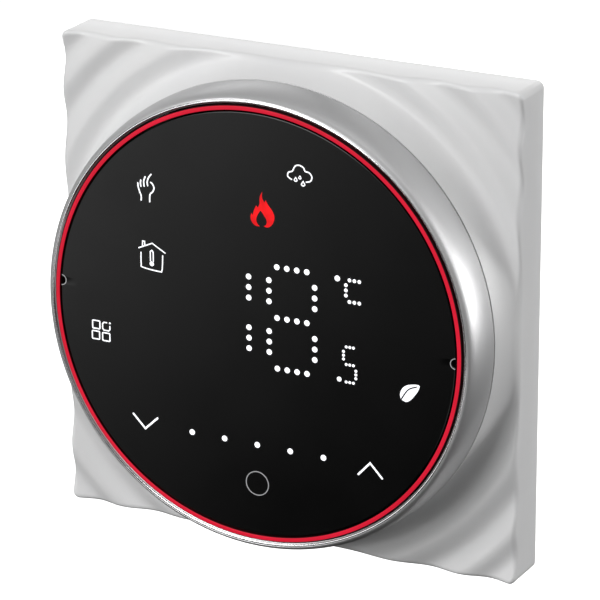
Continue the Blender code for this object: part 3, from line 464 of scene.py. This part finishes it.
def glass_outline(radius, grow):
    """The disc's outline as (x, z) points, with a round notch at each side."""
    notch_r = NOTCH_R + grow
    half_width = 2 * math.asin(notch_r / (2 * radius))
    notches = sorted(math.radians(angle) % (2 * math.pi) for angle in NOTCH_ANGLES)
    points = []
    start = notches[-1] - 2 * math.pi
    for angle in notches:
        span = angle - start - 2 * half_width
        steps = round(span * ROUND_STEPS / (2 * math.pi))
        for i in range(steps + 1):
            turn = start + half_width + span * i / steps
            points.append((radius * math.sin(turn), radius * math.cos(turn)))
        centre = Vector((radius * math.sin(angle), radius * math.cos(angle)))
        first = Vector(points[-1]) - centre
        last_turn = angle + half_width
        last = Vector((radius * math.sin(last_turn), radius * math.cos(last_turn))) - centre
        sweep = (math.atan2(last.y, last.x) - math.atan2(first.y, first.x)) % (2 * math.pi)
        for i in range(1, NOTCH_STEPS):
            spot = centre + Matrix.Rotation(sweep * i / NOTCH_STEPS, 2) @ first
            points.append((spot.x, spot.y))
        start = angle
    return points


def glass():
    """The black disc; rings of faces within its outline keep its flat front evenly shaded."""
    bend = GLASS_EDGE * ARC_MIDDLE
    levels = ((0.0, GLASS_BACK_DEPTH), (0.0, GLASS_DEPTH - GLASS_EDGE),
              (bend, GLASS_DEPTH - bend), (GLASS_EDGE, GLASS_DEPTH))
    loops = []
    for inset, depth in levels:
        outline = glass_outline(GLASS_R - inset, inset)
        loops.append([(x, -depth, z) for x, z in outline])
    back, front = loops[0], loops[-1]
    for share in GLASS_RINGS:
        loops.insert(0, [(x * share, y, z * share) for x, y, z in back])
        loops.append([(x * share, y, z * share) for x, y, z in front])
    disc = new_piece("glass_fine", loft(loops, wrap=False), "black_glass", FRONT,
                     angle=GLASS_SMOOTH_ANGLE)
    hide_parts("glass_disc")


# ---- lit print on the glass -----------------------------------------------------------
SHARPEST_MITRE = 0.5         # a stroke's corner widens by no more than the inverse of this
CAP_STEPS = 6


def smooth_path(points, steps=6):
    """A Catmull-Rom curve through the points."""
    ends = [points[0]] + list(points) + [points[-1]]
    curve = []
    for a, b, c, d in zip(ends, ends[1:], ends[2:], ends[3:]):
        a, b, c, d = Vector(a), Vector(b), Vector(c), Vector(d)
        for i in range(steps):
            t = i / steps
            curve.append(0.5 * (2 * b + (c - a) * t + (2 * a - 5 * b + 4 * c - d) * t * t
                                + (3 * b - a - 3 * c + d) * t ** 3))
    curve.append(Vector(points[-1]))
    return curve


def add_polygon(bm, loops):
    """Fill the area between closed (x, z) loops; the second and later ones are holes."""
    edges = []
    for loop in loops:
        verts = [bm.verts.new((x + PRINT_SHIFT_X, 0.0, z + PRINT_SHIFT_Z)) for x, z in loop]
        for a, b in zip(verts, verts[1:] + verts[:1]):
            edges.append(bm.edges.new((a, b)))
    bmesh.ops.triangle_fill(bm, use_beauty=True, edges=edges, normal=(0.0, -1.0, 0.0))


def add_stroke(bm, points, width):
    """A line of constant width with round ends along an open path."""
    path = [Vector(point) for point in points]
    left, right = [], []
    for i, point in enumerate(path):
        before = (point - path[i - 1]).normalized() if i else None
        after = (path[i + 1] - point).normalized() if i + 1 < len(path) else None
        along = (before or after) + (after or before)
        along.normalize()
        stretch = 1.0 / max(along.dot(before or after), SHARPEST_MITRE)
        side = Vector((-along.y, along.x)) * width / 2 * stretch
        left.append(point + side)
        right.append(point - side)
    outline = list(left)
    outline += cap(path[-1], left[-1])
    outline += reversed(right)
    outline += cap(path[0], right[0])
    add_polygon(bm, [outline])


def cap(centre, start):
    """Points of a half circle round a stroke's end, clockwise from its start point."""
    arm = start - centre
    return [centre + Matrix.Rotation(-math.pi * i / CAP_STEPS, 2) @ arm
            for i in range(1, CAP_STEPS)]


def disc_points(centre, radius, steps=20):
    """The outline of a round dot."""
    return [(centre[0] + radius * math.sin(2 * math.pi * i / steps),
             centre[1] + radius * math.cos(2 * math.pi * i / steps)) for i in range(steps)]


def print_piece(name, bm, material, lift=0.0):
    """Give flat print its thickness and put it on the glass."""
    bmesh.ops.recalc_face_normals(bm, faces=bm.faces)
    made = bmesh.ops.extrude_face_region(bm, geom=bm.faces[:])
    moved = [v for v in made["geom"] if isinstance(v, bmesh.types.BMVert)]
    bmesh.ops.translate(bm, vec=(0.0, -PRINT_THICK, 0.0), verts=moved)
    bmesh.ops.translate(bm, vec=(0.0, -GLASS_DEPTH - lift, 0.0), verts=bm.verts)
    return new_piece(name, bm, material, FRONT)


def dots(name, places):
    """Round lit points; each place is (x, z, diameter)."""
    bm = bmesh.new()
    for x, z, diameter in places:
        add_polygon(bm, [disc_points((x, z), diameter / 2)])
    print_piece(name, bm, "print_white")


def digits():
    """The dotted reading: 18, a small 5 and a degree C."""
    big, small, tiny = 1.02, 0.66, 0.52
    side_z = (8.6, 6.75, 4.9, -0.35, -2.2, -4.05)
    dots("digit_1", [(-1.4, z + 0.05, big) for z in side_z])
    eight = [(x, z, big) for x in (2.4, 10.9) for z in side_z]
    eight += [(3.9 + 1.85 * i, z, big) for i in range(4) for z in (11.1, 2.2, -6.75)]
    dots("digit_8", eight)
    degree = [(15.07, 10.91, big)]
    degree += [(17.3 + 0.9 * i, z, small) for i in range(3) for z in (10.92, 7.17)]
    degree += [(16.65, 9.98 - 0.9 * i, small) for i in range(3)]
    dots("degree_c", degree)
    five = [(15.43, -6.64, 0.86)]
    five += [(16.72 + 0.66 * i, z, tiny) for i in range(3) for z in (-0.77, -3.85, -6.93)]
    five += [(16.22, -1.64 - 0.66 * i, tiny) for i in range(3)]
    five += [(18.5, -4.74 - 0.66 * i, tiny) for i in range(3)]
    dots("digit_5", five)


# The symbols' points were read off the photograph; they are millimetres on the glass.
ICON_LINE = 0.25
KEY_LINE = 0.34
HAND = (
    ((-22.23, 21.93), (-22.14, 21.15), (-21.85, 20.33), (-21.62, 19.74), (-21.64, 19.0)),
    ((-21.65, 22.5), (-21.72, 21.95), (-21.64, 21.42)),
    ((-20.8, 23.19), (-21.09, 22.41), (-21.02, 21.51)),
    ((-19.67, 23.77), (-20.13, 23.16), (-20.42, 22.38), (-20.35, 21.7)),
    ((-19.75, 22.36), (-19.4, 22.08), (-19.14, 21.46), (-19.37, 20.81), (-19.92, 20.19),
     (-20.0, 18.94)),
)
HOUSE_ROOF = ((-22.26, 10.5), (-19.67, 11.66), (-17.21, 10.3))
HOUSE_CHIMNEY = ((-21.55, 10.9), (-21.5, 11.8), (-21.12, 11.8), (-21.1, 11.2))
HOUSE_WALLS = ((-21.85, 9.75), (-21.85, 7.7), (-21.55, 7.15), (-18.4, 6.86), (-17.85, 7.2),
               (-17.68, 9.75))
THERMOMETER_SIDES = (((-20.05, 10.1), (-20.05, 8.5)), ((-19.5, 10.1), (-19.5, 8.5)))
THERMOMETER_TOP = ((-20.05, 10.1), (-19.78, 10.4), (-19.5, 10.1))
THERMOMETER_BULB = (-19.78, 8.02)
FLAME = (                    # runs of a closed outline, each smooth between two sharp points
    ((1.28, 23.78), (1.2, 23.04), (1.32, 22.52), (1.66, 21.98)),
    ((1.66, 21.98), (1.91, 22.43)),
    ((1.91, 22.43), (2.18, 21.9), (2.6, 21.35), (3.07, 20.81), (3.41, 20.14), (3.51, 19.5),
     (3.3, 18.74), (2.82, 18.07), (2.18, 17.73), (1.53, 17.84)),
    ((1.53, 17.84), (1.93, 18.16), (2.09, 18.66), (1.95, 19.18), (1.6, 19.67), (1.28, 20.12),
     (0.93, 20.5)),
    ((0.93, 20.5), (0.53, 19.93), (0.2, 19.26), (0.14, 18.62), (0.35, 18.11), (0.76, 17.74)),
    ((0.76, 17.74), (0.07, 17.73), (-0.51, 18.08), (-0.86, 18.64), (-0.93, 19.2), (-0.78, 19.83)),
    ((-0.78, 19.83), (-0.53, 19.45)),
    ((-0.53, 19.45), (-0.43, 19.95), (-0.2, 20.61), (0.12, 21.24)),
    ((0.12, 21.24), (0.47, 20.93)),
    ((0.47, 20.93), (0.76, 21.67), (0.76, 22.43), (0.91, 23.14), (1.28, 23.78)),
)
CLOUD = ((6.72, 26.7), (6.03, 27.13), (6.13, 27.82), (6.85, 28.16), (7.37, 29.05),
         (8.14, 29.3), (8.91, 28.98), (9.21, 28.42), (9.93, 28.28), (10.44, 27.64),
         (10.19, 26.88), (9.42, 26.61))
LEAF = ((26.75, -8.22), (26.61, -7.3), (27.01, -6.29), (27.87, -5.6), (29.26, -5.26),
        (30.12, -5.35), (29.89, -6.23), (29.28, -7.17), (28.59, -8.03), (27.73, -8.55))
VEIN = ((26.75, -8.35), (28.06, -6.38), (29.61, -5.61))


def strokes(name, paths, width, material="print_white", lift=0.0):
    """A symbol drawn as lines of one width."""
    bm = bmesh.new()
    for path in paths:
        add_stroke(bm, path, width)
    print_piece(name, bm, material, lift)


def closed_smooth(points):
    """A smooth closed outline through the points."""
    wrapped = [*points, points[0]]
    return [(p.x, p.y) for p in smooth_path(wrapped, 4)][:-1]


def ring_loops(centre, radius, width):
    """The outer and inner outlines of a round line."""
    return [disc_points(centre, radius + width / 2, 64),
            disc_points(centre, radius - width / 2, 64)]


def rounded_square(centre, half, corner):
    """A square outline with round corners."""
    points = []
    for side in range(4):
        for i in range(5):
            turn = math.pi / 2 * (side + i / 4)
            across = 1 if side in (0, 1) else -1
            along = 1 if side in (0, 3) else -1
            points.append((centre[0] + across * (half - corner) + corner * math.sin(turn),
                           centre[1] + along * (half - corner) + corner * math.cos(turn)))
    return points


def icons():
    """The symbols round the reading and the touch keys below it."""
    strokes("icon_hand", [smooth_path(path) for path in HAND], ICON_LINE)

    house = [HOUSE_ROOF, HOUSE_CHIMNEY, smooth_path(HOUSE_WALLS), *THERMOMETER_SIDES,
             smooth_path(THERMOMETER_TOP)]
    strokes("icon_house", house, ICON_LINE * 0.85)
    bulb = bmesh.new()
    add_polygon(bulb, [disc_points(THERMOMETER_BULB, 0.42)])
    print_piece("icon_house_bulb", bulb, "print_white", PRINT_THICK)

    flame = bmesh.new()
    outline = []
    for run in FLAME:
        outline += [(p.x, p.y) for p in smooth_path(run, 4)][:-1]
    add_polygon(flame, [outline])
    print_piece("icon_flame", flame, "print_red")

    strokes("icon_cloud", [smooth_path(CLOUD)], ICON_LINE * 0.9)
    drops = bmesh.new()
    for x, z, size in ((7.49, 26.75, 0.36), (8.26, 27.2, 0.3), (8.85, 26.2, 0.42)):
        loops = []
        for reach in (size, size * 0.45):
            loops.append(closed_smooth(((x, z + reach * 1.5), (x - reach, z - reach * 0.2),
                                        (x, z - reach), (x + reach, z - reach * 0.2))))
        add_polygon(drops, loops)
    print_piece("icon_drops", drops, "print_white", PRINT_THICK)

    grid = bmesh.new()
    for x, z in ((-30.88, -4.62), (-30.98, -6.52), (-28.96, -6.58)):
        add_polygon(grid, [rounded_square((x, z), 0.82, 0.25), rounded_square((x, z), 0.6, 0.1)])
    print_piece("key_menu", grid, "print_white")
    x, z, half, corner = -28.92, -4.7, 0.71, 0.45
    strokes("key_menu_open", [((x + 0.1, z + half), (x - corner, z + half),
                               (x - half, z + corner), (x - half, z - corner),
                               (x - corner, z - half), (x + corner, z - half),
                               (x + half, z - corner), (x + half, z + 0.15))], 0.22)
    dots("key_menu_dot", [(x + half, z + half, 0.36)])

    strokes("key_down", [((-23.9, -19.65), (-21.6, -21.97), (-19.2, -19.7))], KEY_LINE)
    strokes("key_up", [((19.0, -22.92), (21.18, -20.56), (23.4, -22.9))], KEY_LINE)
    dots("mode_dots", [(-12.47 + 6.24 * i, -21.02 - 0.04 * i, 1.05) for i in range(5)])

    power = bmesh.new()
    add_polygon(power, ring_loops((-0.03, -28.1), 2.12, 0.16))
    print_piece("key_power", power, "print_grey")

    leaf = bmesh.new()
    add_polygon(leaf, [closed_smooth(LEAF)])
    print_piece("key_leaf", leaf, "print_white")
    strokes("key_leaf_vein", [smooth_path(VEIN)], 0.22, "black_glass", PRINT_THICK)


def notch_rims():
    """A thin grey line round each notch in the glass."""
    steps, half_span = 12, 84.0
    radius = NOTCH_R + NOTCH_RIM_GAP
    bm = bmesh.new()
    for angle in NOTCH_ANGLES:
        x, z = on_circle(GLASS_R, angle)
        inward = math.radians(angle) + math.pi
        arc = []
        for i in range(steps + 1):
            turn = inward + math.radians(half_span * (2 * i / steps - 1))
            arc.append((x + radius * math.sin(turn) - PRINT_SHIFT_X,
                        z + radius * math.cos(turn) - PRINT_SHIFT_Z))
        add_stroke(bm, arc, NOTCH_RIM_LINE)
    print_piece("notch_rims", bm, "print_grey")


# ---- pieces behind the plate: finer copies of the CAD's ---------------------------------
SLOTS = {s["node"]: s["material_slot"] for s in frame["record"]["subparts"]}
BODIES = {node: body for body, nodes in frame["record"]["behaviour"]["bodies"].items()
          for node in nodes}
FACET_ANGLE = 5.0            # flat faces stay flat, and every rounded edge shows its facets
SAME_PLACE = 1e-3            # points closer than this are one
SAME_PLANE_ANGLE = 1.0
HARD_EDGE_ANGLE = 40.0
SCREW_STEPS = 40
SCREW_PITCH = 0.7
SCREWS = {                   # head radius and height, shank radius and length
    "cover_screw": (2.1, 1.0, 0.9, 3.6),
    "bezel_screw": (1.7, 1.2, 0.9, 5.4),
    "bracket_screw": (2.3, 1.0, 1.15, 8.0),
    "wall_screw": (3.7, 2.0, 1.85, 22.0),
    "terminal_screw": (2.1, 1.8, 1.3, 3.5),
}
RECESS_HALF_SHARE = 0.16     # half a driver slot's width, as a share of the head's radius
RECESS_REACH_SHARE = 0.6
PIN_COUNT = 8
PIN_PITCH = 2.54
PIN_HALF = 0.3
PIN_EDGE = 0.12
STRIP_THICK = 2.5
STRIP_NOTCH_HALF = 0.25
BEAD_INSET = 3.2             # from the bracket's edge to the middle of its pressed beads
BEAD_HALF = 0.9
BEAD_DEPTH = 0.45
BEAD_SPANS = ((-26.0, -9.0), (9.0, 26.0))
LABEL_INSET = 4.0            # round the sunk label panel on the power box's back
LABEL_DEPTH = 0.4
LABEL_OVER_TERMINALS = 3.0
GROOVE_HALF = 0.25
GROOVE_DEPTH = 1.2
TERMINAL_COUNT = 6
NUMBER_RISE = 1.6            # from the top of a clamp to the foot of its number
NUMBER_THICK = 0.12
NUMBER_LINE = 0.22
NUMBERS = (                  # strokes from 1 to 6, mirrored because they are read from behind
    ((0.25, 1.0), (-0.1, 1.3), (-0.1, 0.0)),
    ((0.45, 0.95), (0.3, 1.25), (-0.2, 1.3), (-0.45, 0.95), (0.45, 0.0), (-0.45, 0.0)),
    ((0.45, 1.3), (-0.4, 1.3), (0.05, 0.8), (-0.45, 0.45), (-0.2, 0.0), (0.45, 0.1)),
    ((-0.2, 0.0), (-0.2, 1.3), (0.5, 0.4), (-0.5, 0.4)),
    ((-0.4, 1.3), (0.4, 1.3), (0.4, 0.75), (-0.3, 0.75), (-0.45, 0.3), (-0.1, 0.0), (0.45, 0.05)),
    ((-0.3, 1.3), (0.4, 0.6), (0.4, 0.2), (0.0, 0.0), (-0.4, 0.2), (-0.35, 0.65), (0.35, 0.6)),
)


def block(bm, x, y, z, edge=0.0):
    """Add a box between the given limits, its edges rounded by edge."""
    made = bmesh.ops.create_cube(bm, size=1.0)["verts"]
    size = Vector((x[1] - x[0], y[1] - y[0], z[1] - z[0]))
    middle = Vector((x[1] + x[0], y[1] + y[0], z[1] + z[0])) / 2
    bmesh.ops.scale(bm, vec=size, verts=made)
    bmesh.ops.translate(bm, vec=middle, verts=made)
    if edge:
        around = {e for vert in made for e in vert.link_edges}
        bmesh.ops.bevel(bm, geom=list(around), offset=edge, segments=2, profile=0.5,
                        affect="EDGES", clamp_overlap=True)


def carve(piece, bm, angle):
    """Cut the bmesh (in millimetres) out of a piece."""
    bmesh.ops.scale(bm, vec=(MM, MM, MM), verts=bm.verts)
    mesh = bpy.data.meshes.new("cutter")
    bm.to_mesh(mesh)
    bm.free()
    cutter = bpy.data.objects.new("cutter", mesh)
    bpy.context.scene.collection.objects.link(cutter)
    modifier = piece.modifiers.new("carve", "BOOLEAN")
    modifier.operation = "DIFFERENCE"
    modifier.object = cutter
    bpy.context.view_layer.update()
    evaluated = piece.evaluated_get(bpy.context.evaluated_depsgraph_get())
    result = bpy.data.meshes.new_from_object(evaluated)
    piece.modifiers.clear()
    piece.data = result
    result.shade_smooth()
    result.set_sharp_from_angle(angle=math.radians(angle))
    bpy.data.objects.remove(cutter, do_unlink=True)


def softened(node, width):
    """A copy of a CAD node with its hard edges rounded, standing in for it."""
    bm = bmesh.new()
    bm.from_mesh(frame["nodes"][node].data)
    bmesh.ops.scale(bm, vec=(1 / MM, 1 / MM, 1 / MM), verts=bm.verts)
    bmesh.ops.remove_doubles(bm, verts=bm.verts, dist=SAME_PLACE)
    bmesh.ops.dissolve_limit(bm, angle_limit=math.radians(SAME_PLANE_ANGLE), verts=bm.verts,
                             edges=bm.edges)
    limit = math.radians(HARD_EDGE_ANGLE)
    hard = [edge for edge in bm.edges if edge.calc_face_angle(0.0) > limit]
    bmesh.ops.bevel(bm, geom=hard, offset=width, segments=2, profile=0.5, affect="EDGES",
                    clamp_overlap=True)
    piece = new_piece(f"{node}_fine", bm, SLOTS[node], BODIES[node], FACET_ANGLE)
    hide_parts(node)
    return piece


def screw_profile(head_r, head_high, shank_r, shank_long, pitch):
    """(radius, distance past the head's underside) from the crown to the tip."""
    dome_steps, side_share, pole_r, edge = 8, 0.35, 0.05, 0.1
    root_r, point_r = shank_r * 0.8, shank_r * 0.3
    profile = []
    for step in range(dome_steps + 1):
        turn = math.pi / 2 * step / dome_steps
        profile.append((max(head_r * math.sin(turn), pole_r),
                        -head_high * (side_share + (1 - side_share) * math.cos(turn))))
    profile += [(head_r, -edge), (head_r - edge, 0.0), (shank_r, 0.0)]
    threads = int((shank_long - shank_r) / pitch) - 1
    for turn in range(threads):
        start = pitch * (turn + 0.5)
        profile += [(root_r, start), (shank_r, start + pitch / 2)]
    profile += [(root_r, shank_long - shank_r), (point_r, shank_long)]
    return profile


def fine_screws(node, count, slotted, towards_front):
    """Round-headed screws with a driver recess in place of each of the CAD's."""
    head_r, head_high, shank_r, shank_long = SCREWS[node]
    outline = screw_profile(head_r, head_high, shank_r, shank_long, SCREW_PITCH)
    way = -1.0 if towards_front else 1.0
    for number in range(1, count + 1):
        name = f"{node}_{number}"
        low, high = box_mm(name)
        x, z = (low.x + high.x) / 2, (low.z + high.z) / 2
        under = high.y - head_high if towards_front else low.y + head_high
        profile = [(radius, -(under + way * along)) for radius, along in outline]
        piece = new_piece(f"{name}_fine", turned(profile, SCREW_STEPS, False, (x, z)), "steel",
                          BODIES[name])
        recess = bmesh.new()
        crown = under - way * head_high
        depth = sorted((crown - way * PAST, crown + way * head_high / 2))
        half = head_r * RECESS_HALF_SHARE
        if slotted:
            block(recess, (x - head_r - PAST, x + head_r + PAST), depth, (z - half, z + half))
        else:
            reach = head_r * RECESS_REACH_SHARE
            block(recess, (x - reach, x + reach), depth, (z - half, z + half))
            carve(piece, recess, SMOOTH_ANGLE)
            recess = bmesh.new()
            block(recess, (x - half, x + half), depth, (z - reach, z + reach))
        carve(piece, recess, SMOOTH_ANGLE)
        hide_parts(name)


def header_pins():
    """The plug's moulded strip, and its gilt pins as pieces of their own."""
    low, high = box_mm("pin_header")
    strip_back = low.y + STRIP_THICK
    middle = (low.z + high.z) / 2
    strip_edge, gap, notch = 0.2, 0.01, STRIP_NOTCH_HALF
    strip = bmesh.new()
    block(strip, (low.x, high.x), (low.y, strip_back), (low.z, high.z), strip_edge)
    piece = new_piece("pin_header_fine", strip, "black_plastic", FRONT, angle=FACET_ANGLE)
    notches = bmesh.new()
    for i in range(PIN_COUNT - 1):
        x = (i - (PIN_COUNT - 2) / 2) * PIN_PITCH
        for z in (low.z, high.z):
            block(notches, (x - notch, x + notch), (low.y - PAST, strip_back + PAST),
                  (z - notch, z + notch))
    carve(piece, notches, FACET_ANGLE)
    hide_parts("pin_header")
    for i in range(PIN_COUNT):
        x = (i - (PIN_COUNT - 1) / 2) * PIN_PITCH
        pin = bmesh.new()
        block(pin, (x - PIN_HALF, x + PIN_HALF), (strip_back + gap, high.y),
              (middle - PIN_HALF, middle + PIN_HALF), PIN_EDGE)
        new_piece(f"header_pin_{i + 1}", pin, "brass", FRONT, angle=FACET_ANGLE)


def terminal_numbers():
    """Small raised numbers 1 to 6 over the clamps, read from behind."""
    back = box_mm("terminal_block")[1].y
    for number, path in enumerate(NUMBERS, start=1):
        low, high = box_mm(f"wire_clamp_{number}")
        x, z = (low.x + high.x) / 2, high.z + NUMBER_RISE
        bm = bmesh.new()
        add_stroke(bm, [(x + a - PRINT_SHIFT_X, z + b - PRINT_SHIFT_Z) for a, b in path],
                   NUMBER_LINE)
        made = bmesh.ops.extrude_face_region(bm, geom=bm.faces[:])
        moved = [v for v in made["geom"] if isinstance(v, bmesh.types.BMVert)]
        bmesh.ops.translate(bm, vec=(0.0, NUMBER_THICK, 0.0), verts=moved)
        bmesh.ops.translate(bm, vec=(0.0, back, 0.0), verts=bm.verts)
        new_piece(f"terminal_number_{number}", bm, "white_plastic", WALL)


def bracket():
    """The steel bracket with the stiffening beads pressed into its back."""
    piece = softened("mounting_bracket", 0.22)
    high = box_mm("mounting_bracket")[1]
    depth, edge = (-BEAD_DEPTH, PAST), 0.4
    beads = bmesh.new()
    for side in (-1, 1):
        x, z = side * (high.x - BEAD_INSET), side * (high.z - BEAD_INSET)
        for span in BEAD_SPANS:
            block(beads, (x - BEAD_HALF, x + BEAD_HALF), depth, span, edge)
            block(beads, span, depth, (z - BEAD_HALF, z + BEAD_HALF), edge)
    carve(piece, beads, FACET_ANGLE)


def power_box():
    """The power box with a sunk panel for its label."""
    piece = softened("power_box", 0.3)
    low, high = box_mm("power_box")
    foot = box_mm("terminal_block")[1].z + LABEL_OVER_TERMINALS
    panel = bmesh.new()
    block(panel, (low.x + LABEL_INSET, high.x - LABEL_INSET),
          (high.y - LABEL_DEPTH, high.y + PAST), (foot, high.z - LABEL_INSET), 0.3)
    carve(piece, panel, FACET_ANGLE)


def terminal_block():
    """The terminal strip with a groove between each two ways."""
    piece = softened("terminal_block", 0.2)
    low, high = box_mm("terminal_block")
    grooves = bmesh.new()
    for i in range(1, TERMINAL_COUNT):
        x = (box_mm(f"wire_clamp_{i}")[1].x + box_mm(f"wire_clamp_{i + 1}")[0].x) / 2
        block(grooves, (x - GROOVE_HALF, x + GROOVE_HALF), (high.y - GROOVE_DEPTH, high.y + PAST),
              (low.z - PAST, high.z + PAST))
    carve(piece, grooves, FACET_ANGLE)
    terminal_numbers()


def wall_side():
    """Everything that stays on the wall when the panel comes off."""
    bracket()
    power_box()
    terminal_block()
    softened("power_lid", 0.2)
    softened("header_socket", 0.2)
    for number in range(1, TERMINAL_COUNT + 1):
        softened(f"wire_clamp_{number}", 0.2)
    fine_screws("bracket_screw", 4, slotted=False, towards_front=False)
    fine_screws("wall_screw", 2, slotted=False, towards_front=False)
    fine_screws("terminal_screw", TERMINAL_COUNT, slotted=True, towards_front=True)


def panel_back():
    """The front panel's back: its cover, plug and screws."""
    softened("rear_cover", 0.25)
    header_pins()
    fine_screws("cover_screw", 4, slotted=False, towards_front=True)
    fine_screws("bezel_screw", 3, slotted=False, towards_front=True)


# ---- the CAD nodes that stay: their finish --------------------------------------------
def dress_nodes():
    """Give every CAD node its material; those with a finer copy are replaced later."""
    for name, node in frame["nodes"].items():
        node.data.materials.clear()
        node.data.materials.append(MATERIALS[SLOTS[name]])


# ---- stage ----------------------------------------------------------------------------
VIEW_AZIMUTH = 27.256
VIEW_ELEVATION = 19.417
VIEW_ROLL = -0.139
VIEW_DISTANCE = 0.65025
LENS = 228.35                # focal length for a sensor 36 mm wide
SENSOR_WIDTH = 36.0
LENS_SHIFT = (-0.01626, -0.01548)
FLOOR_HALF = 20.0            # metres, like all of the stage
FLOOR_HEIGHT = -0.3


def camera():
    """The photograph's own viewing angle, as fitted to the plate and the ring."""
    data = bpy.data.cameras.new("camera")
    data.lens = LENS
    data.sensor_width = SENSOR_WIDTH
    data.shift_x, data.shift_y = LENS_SHIFT
    data.clip_start = 0.01
    made = bpy.data.objects.new("camera", data)
    azimuth, elevation = math.radians(VIEW_AZIMUTH), math.radians(VIEW_ELEVATION)
    made.location = Vector((math.sin(azimuth) * math.cos(elevation),
                            -math.cos(azimuth) * math.cos(elevation),
                            math.sin(elevation))) * VIEW_DISTANCE
    aim = Matrix.Rotation(azimuth, 3, "Z") @ Matrix.Rotation(math.pi / 2 - elevation, 3, "X")
    made.rotation_euler = (aim @ Matrix.Rotation(math.radians(VIEW_ROLL), 3, "Z")).to_euler()
    bpy.context.scene.collection.objects.link(made)
    bpy.context.scene.camera = made


def softbox(name, direction, distance, size, power):
    """A square area light that faces the object from the given direction."""
    data = bpy.data.lights.new(name, "AREA")
    data.shape = "SQUARE"
    data.size = size
    data.energy = power
    made = bpy.data.objects.new(name, data)
    away = Vector(direction).normalized()
    made.location = away * distance
    made.rotation_euler = away.to_track_quat("Z", "Y").to_euler()
    made.visible_camera = False
    bpy.context.scene.collection.objects.link(made)
    return made


def floor():
    """A plain pale floor that lights nothing and shows in no reflection."""
    bm = bmesh.new()
    bmesh.ops.create_grid(bm, x_segments=1, y_segments=1, size=FLOOR_HALF)
    bmesh.ops.translate(bm, vec=(0.0, 0.0, FLOOR_HEIGHT), verts=bm.verts)
    mesh = bpy.data.meshes.new("floor")
    bm.to_mesh(mesh)
    bm.free()
    made = bpy.data.objects.new("floor", mesh)
    bpy.context.scene.collection.objects.link(made)
    mesh.materials.append(glowing("floor", (0.72, 0.72, 0.72), (0.74, 0.74, 0.74), 1.0, 2.0,
                                  (0.8, 0.8, 0.8)))
    made.visible_diffuse = False
    made.visible_glossy = False


def world():
    """A grey room, dark below; the camera itself sees plain white."""
    made = bpy.data.worlds.new("studio")
    made.use_nodes = True
    nodes, links = made.node_tree.nodes, made.node_tree.links
    nodes.clear()
    place = nodes.new("ShaderNodeTexCoord")
    split = nodes.new("ShaderNodeSeparateXYZ")
    links.new(place.outputs["Generated"], split.inputs["Vector"])
    ramp = nodes.new("ShaderNodeValToRGB")
    height = nodes.new("ShaderNodeMapRange")
    height.inputs["From Min"].default_value = -1.0
    links.new(split.outputs["Z"], height.inputs["Value"])
    links.new(height.outputs["Result"], ramp.inputs["Fac"])
    for element, (position, grey) in zip(ramp.color_ramp.elements, ROOM_GREYS):
        element.position = position
        element.color = (grey, grey, grey, 1.0)
    room = nodes.new("ShaderNodeBackground")
    links.new(ramp.outputs["Color"], room.inputs["Color"])
    plain = nodes.new("ShaderNodeBackground")
    plain.inputs["Color"].default_value = (1.0, 1.0, 1.0, 1.0)
    rays = nodes.new("ShaderNodeLightPath")
    mix = nodes.new("ShaderNodeMixShader")
    links.new(rays.outputs["Is Camera Ray"], mix.inputs["Fac"])
    links.new(room.outputs["Background"], mix.inputs[1])
    links.new(plain.outputs["Background"], mix.inputs[2])
    out = nodes.new("ShaderNodeOutputWorld")
    links.new(mix.outputs["Shader"], out.inputs["Surface"])
    bpy.context.scene.world = made


SOFTBOX_DISTANCE = 1.2
SOFTBOX_SIZE = 0.4
# The first eight began as a fit of the room's light to the photograph, then were set one by one.
SOFTBOXES = (                # (direction it shines from, power in watts)
    ((-0.20, -0.92, 0.34), 3.8),
    ((-0.48, -0.76, 0.45), 2.9),
    ((-0.27, -0.74, 0.62), 2.6),
    ((0.22, -0.46, 0.86), 0.4),
    ((0.18, 0.24, 0.95), 0.35),
    ((-0.15, 0.13, 0.98), 0.2),
    ((0.47, 0.08, 0.87), 0.5),
    ((0.87, 0.24, 0.43), 1.6),
    ((0.88, 0.47, 0.05), 5.5),
    ((0.42, -0.76, -0.50), 0.9),
)
WASH_DIRECTION = (-0.56, -0.81, -0.18)       # mirrored by the glass towards the camera
WASH_DISTANCE = 1.24
WASH_POWER = 0.95
BACK_DIRECTION = (-0.35, 0.93, 0.0)
BACK_POWER = 8.0
ROOM_GREYS = ((0.34, 0.02), (0.62, 0.36))    # (height from 0 below to 1 above, brightness)


def stage():
    """World, floor and lights."""
    bpy.context.scene.view_settings.view_transform = "Standard"
    world()
    floor()
    for number, (direction, power) in enumerate(SOFTBOXES, start=1):
        softbox(f"softbox_{number}", direction, SOFTBOX_DISTANCE, SOFTBOX_SIZE, power)
    wash = softbox("wash", WASH_DIRECTION, WASH_DISTANCE, SOFTBOX_SIZE, WASH_POWER)
    wash.rotation_euler.rotate_axis("Z", math.pi / 4)
    softbox("back", BACK_DIRECTION, SOFTBOX_DISTANCE, 3 * SOFTBOX_SIZE, BACK_POWER)


# ---- build ----------------------------------------------------------------------------
dress_nodes()
wave_plate()
bezel()
light_ring()
glass()
digits()
icons()
notch_rims()
wall_side()
panel_back()
camera()
stage()
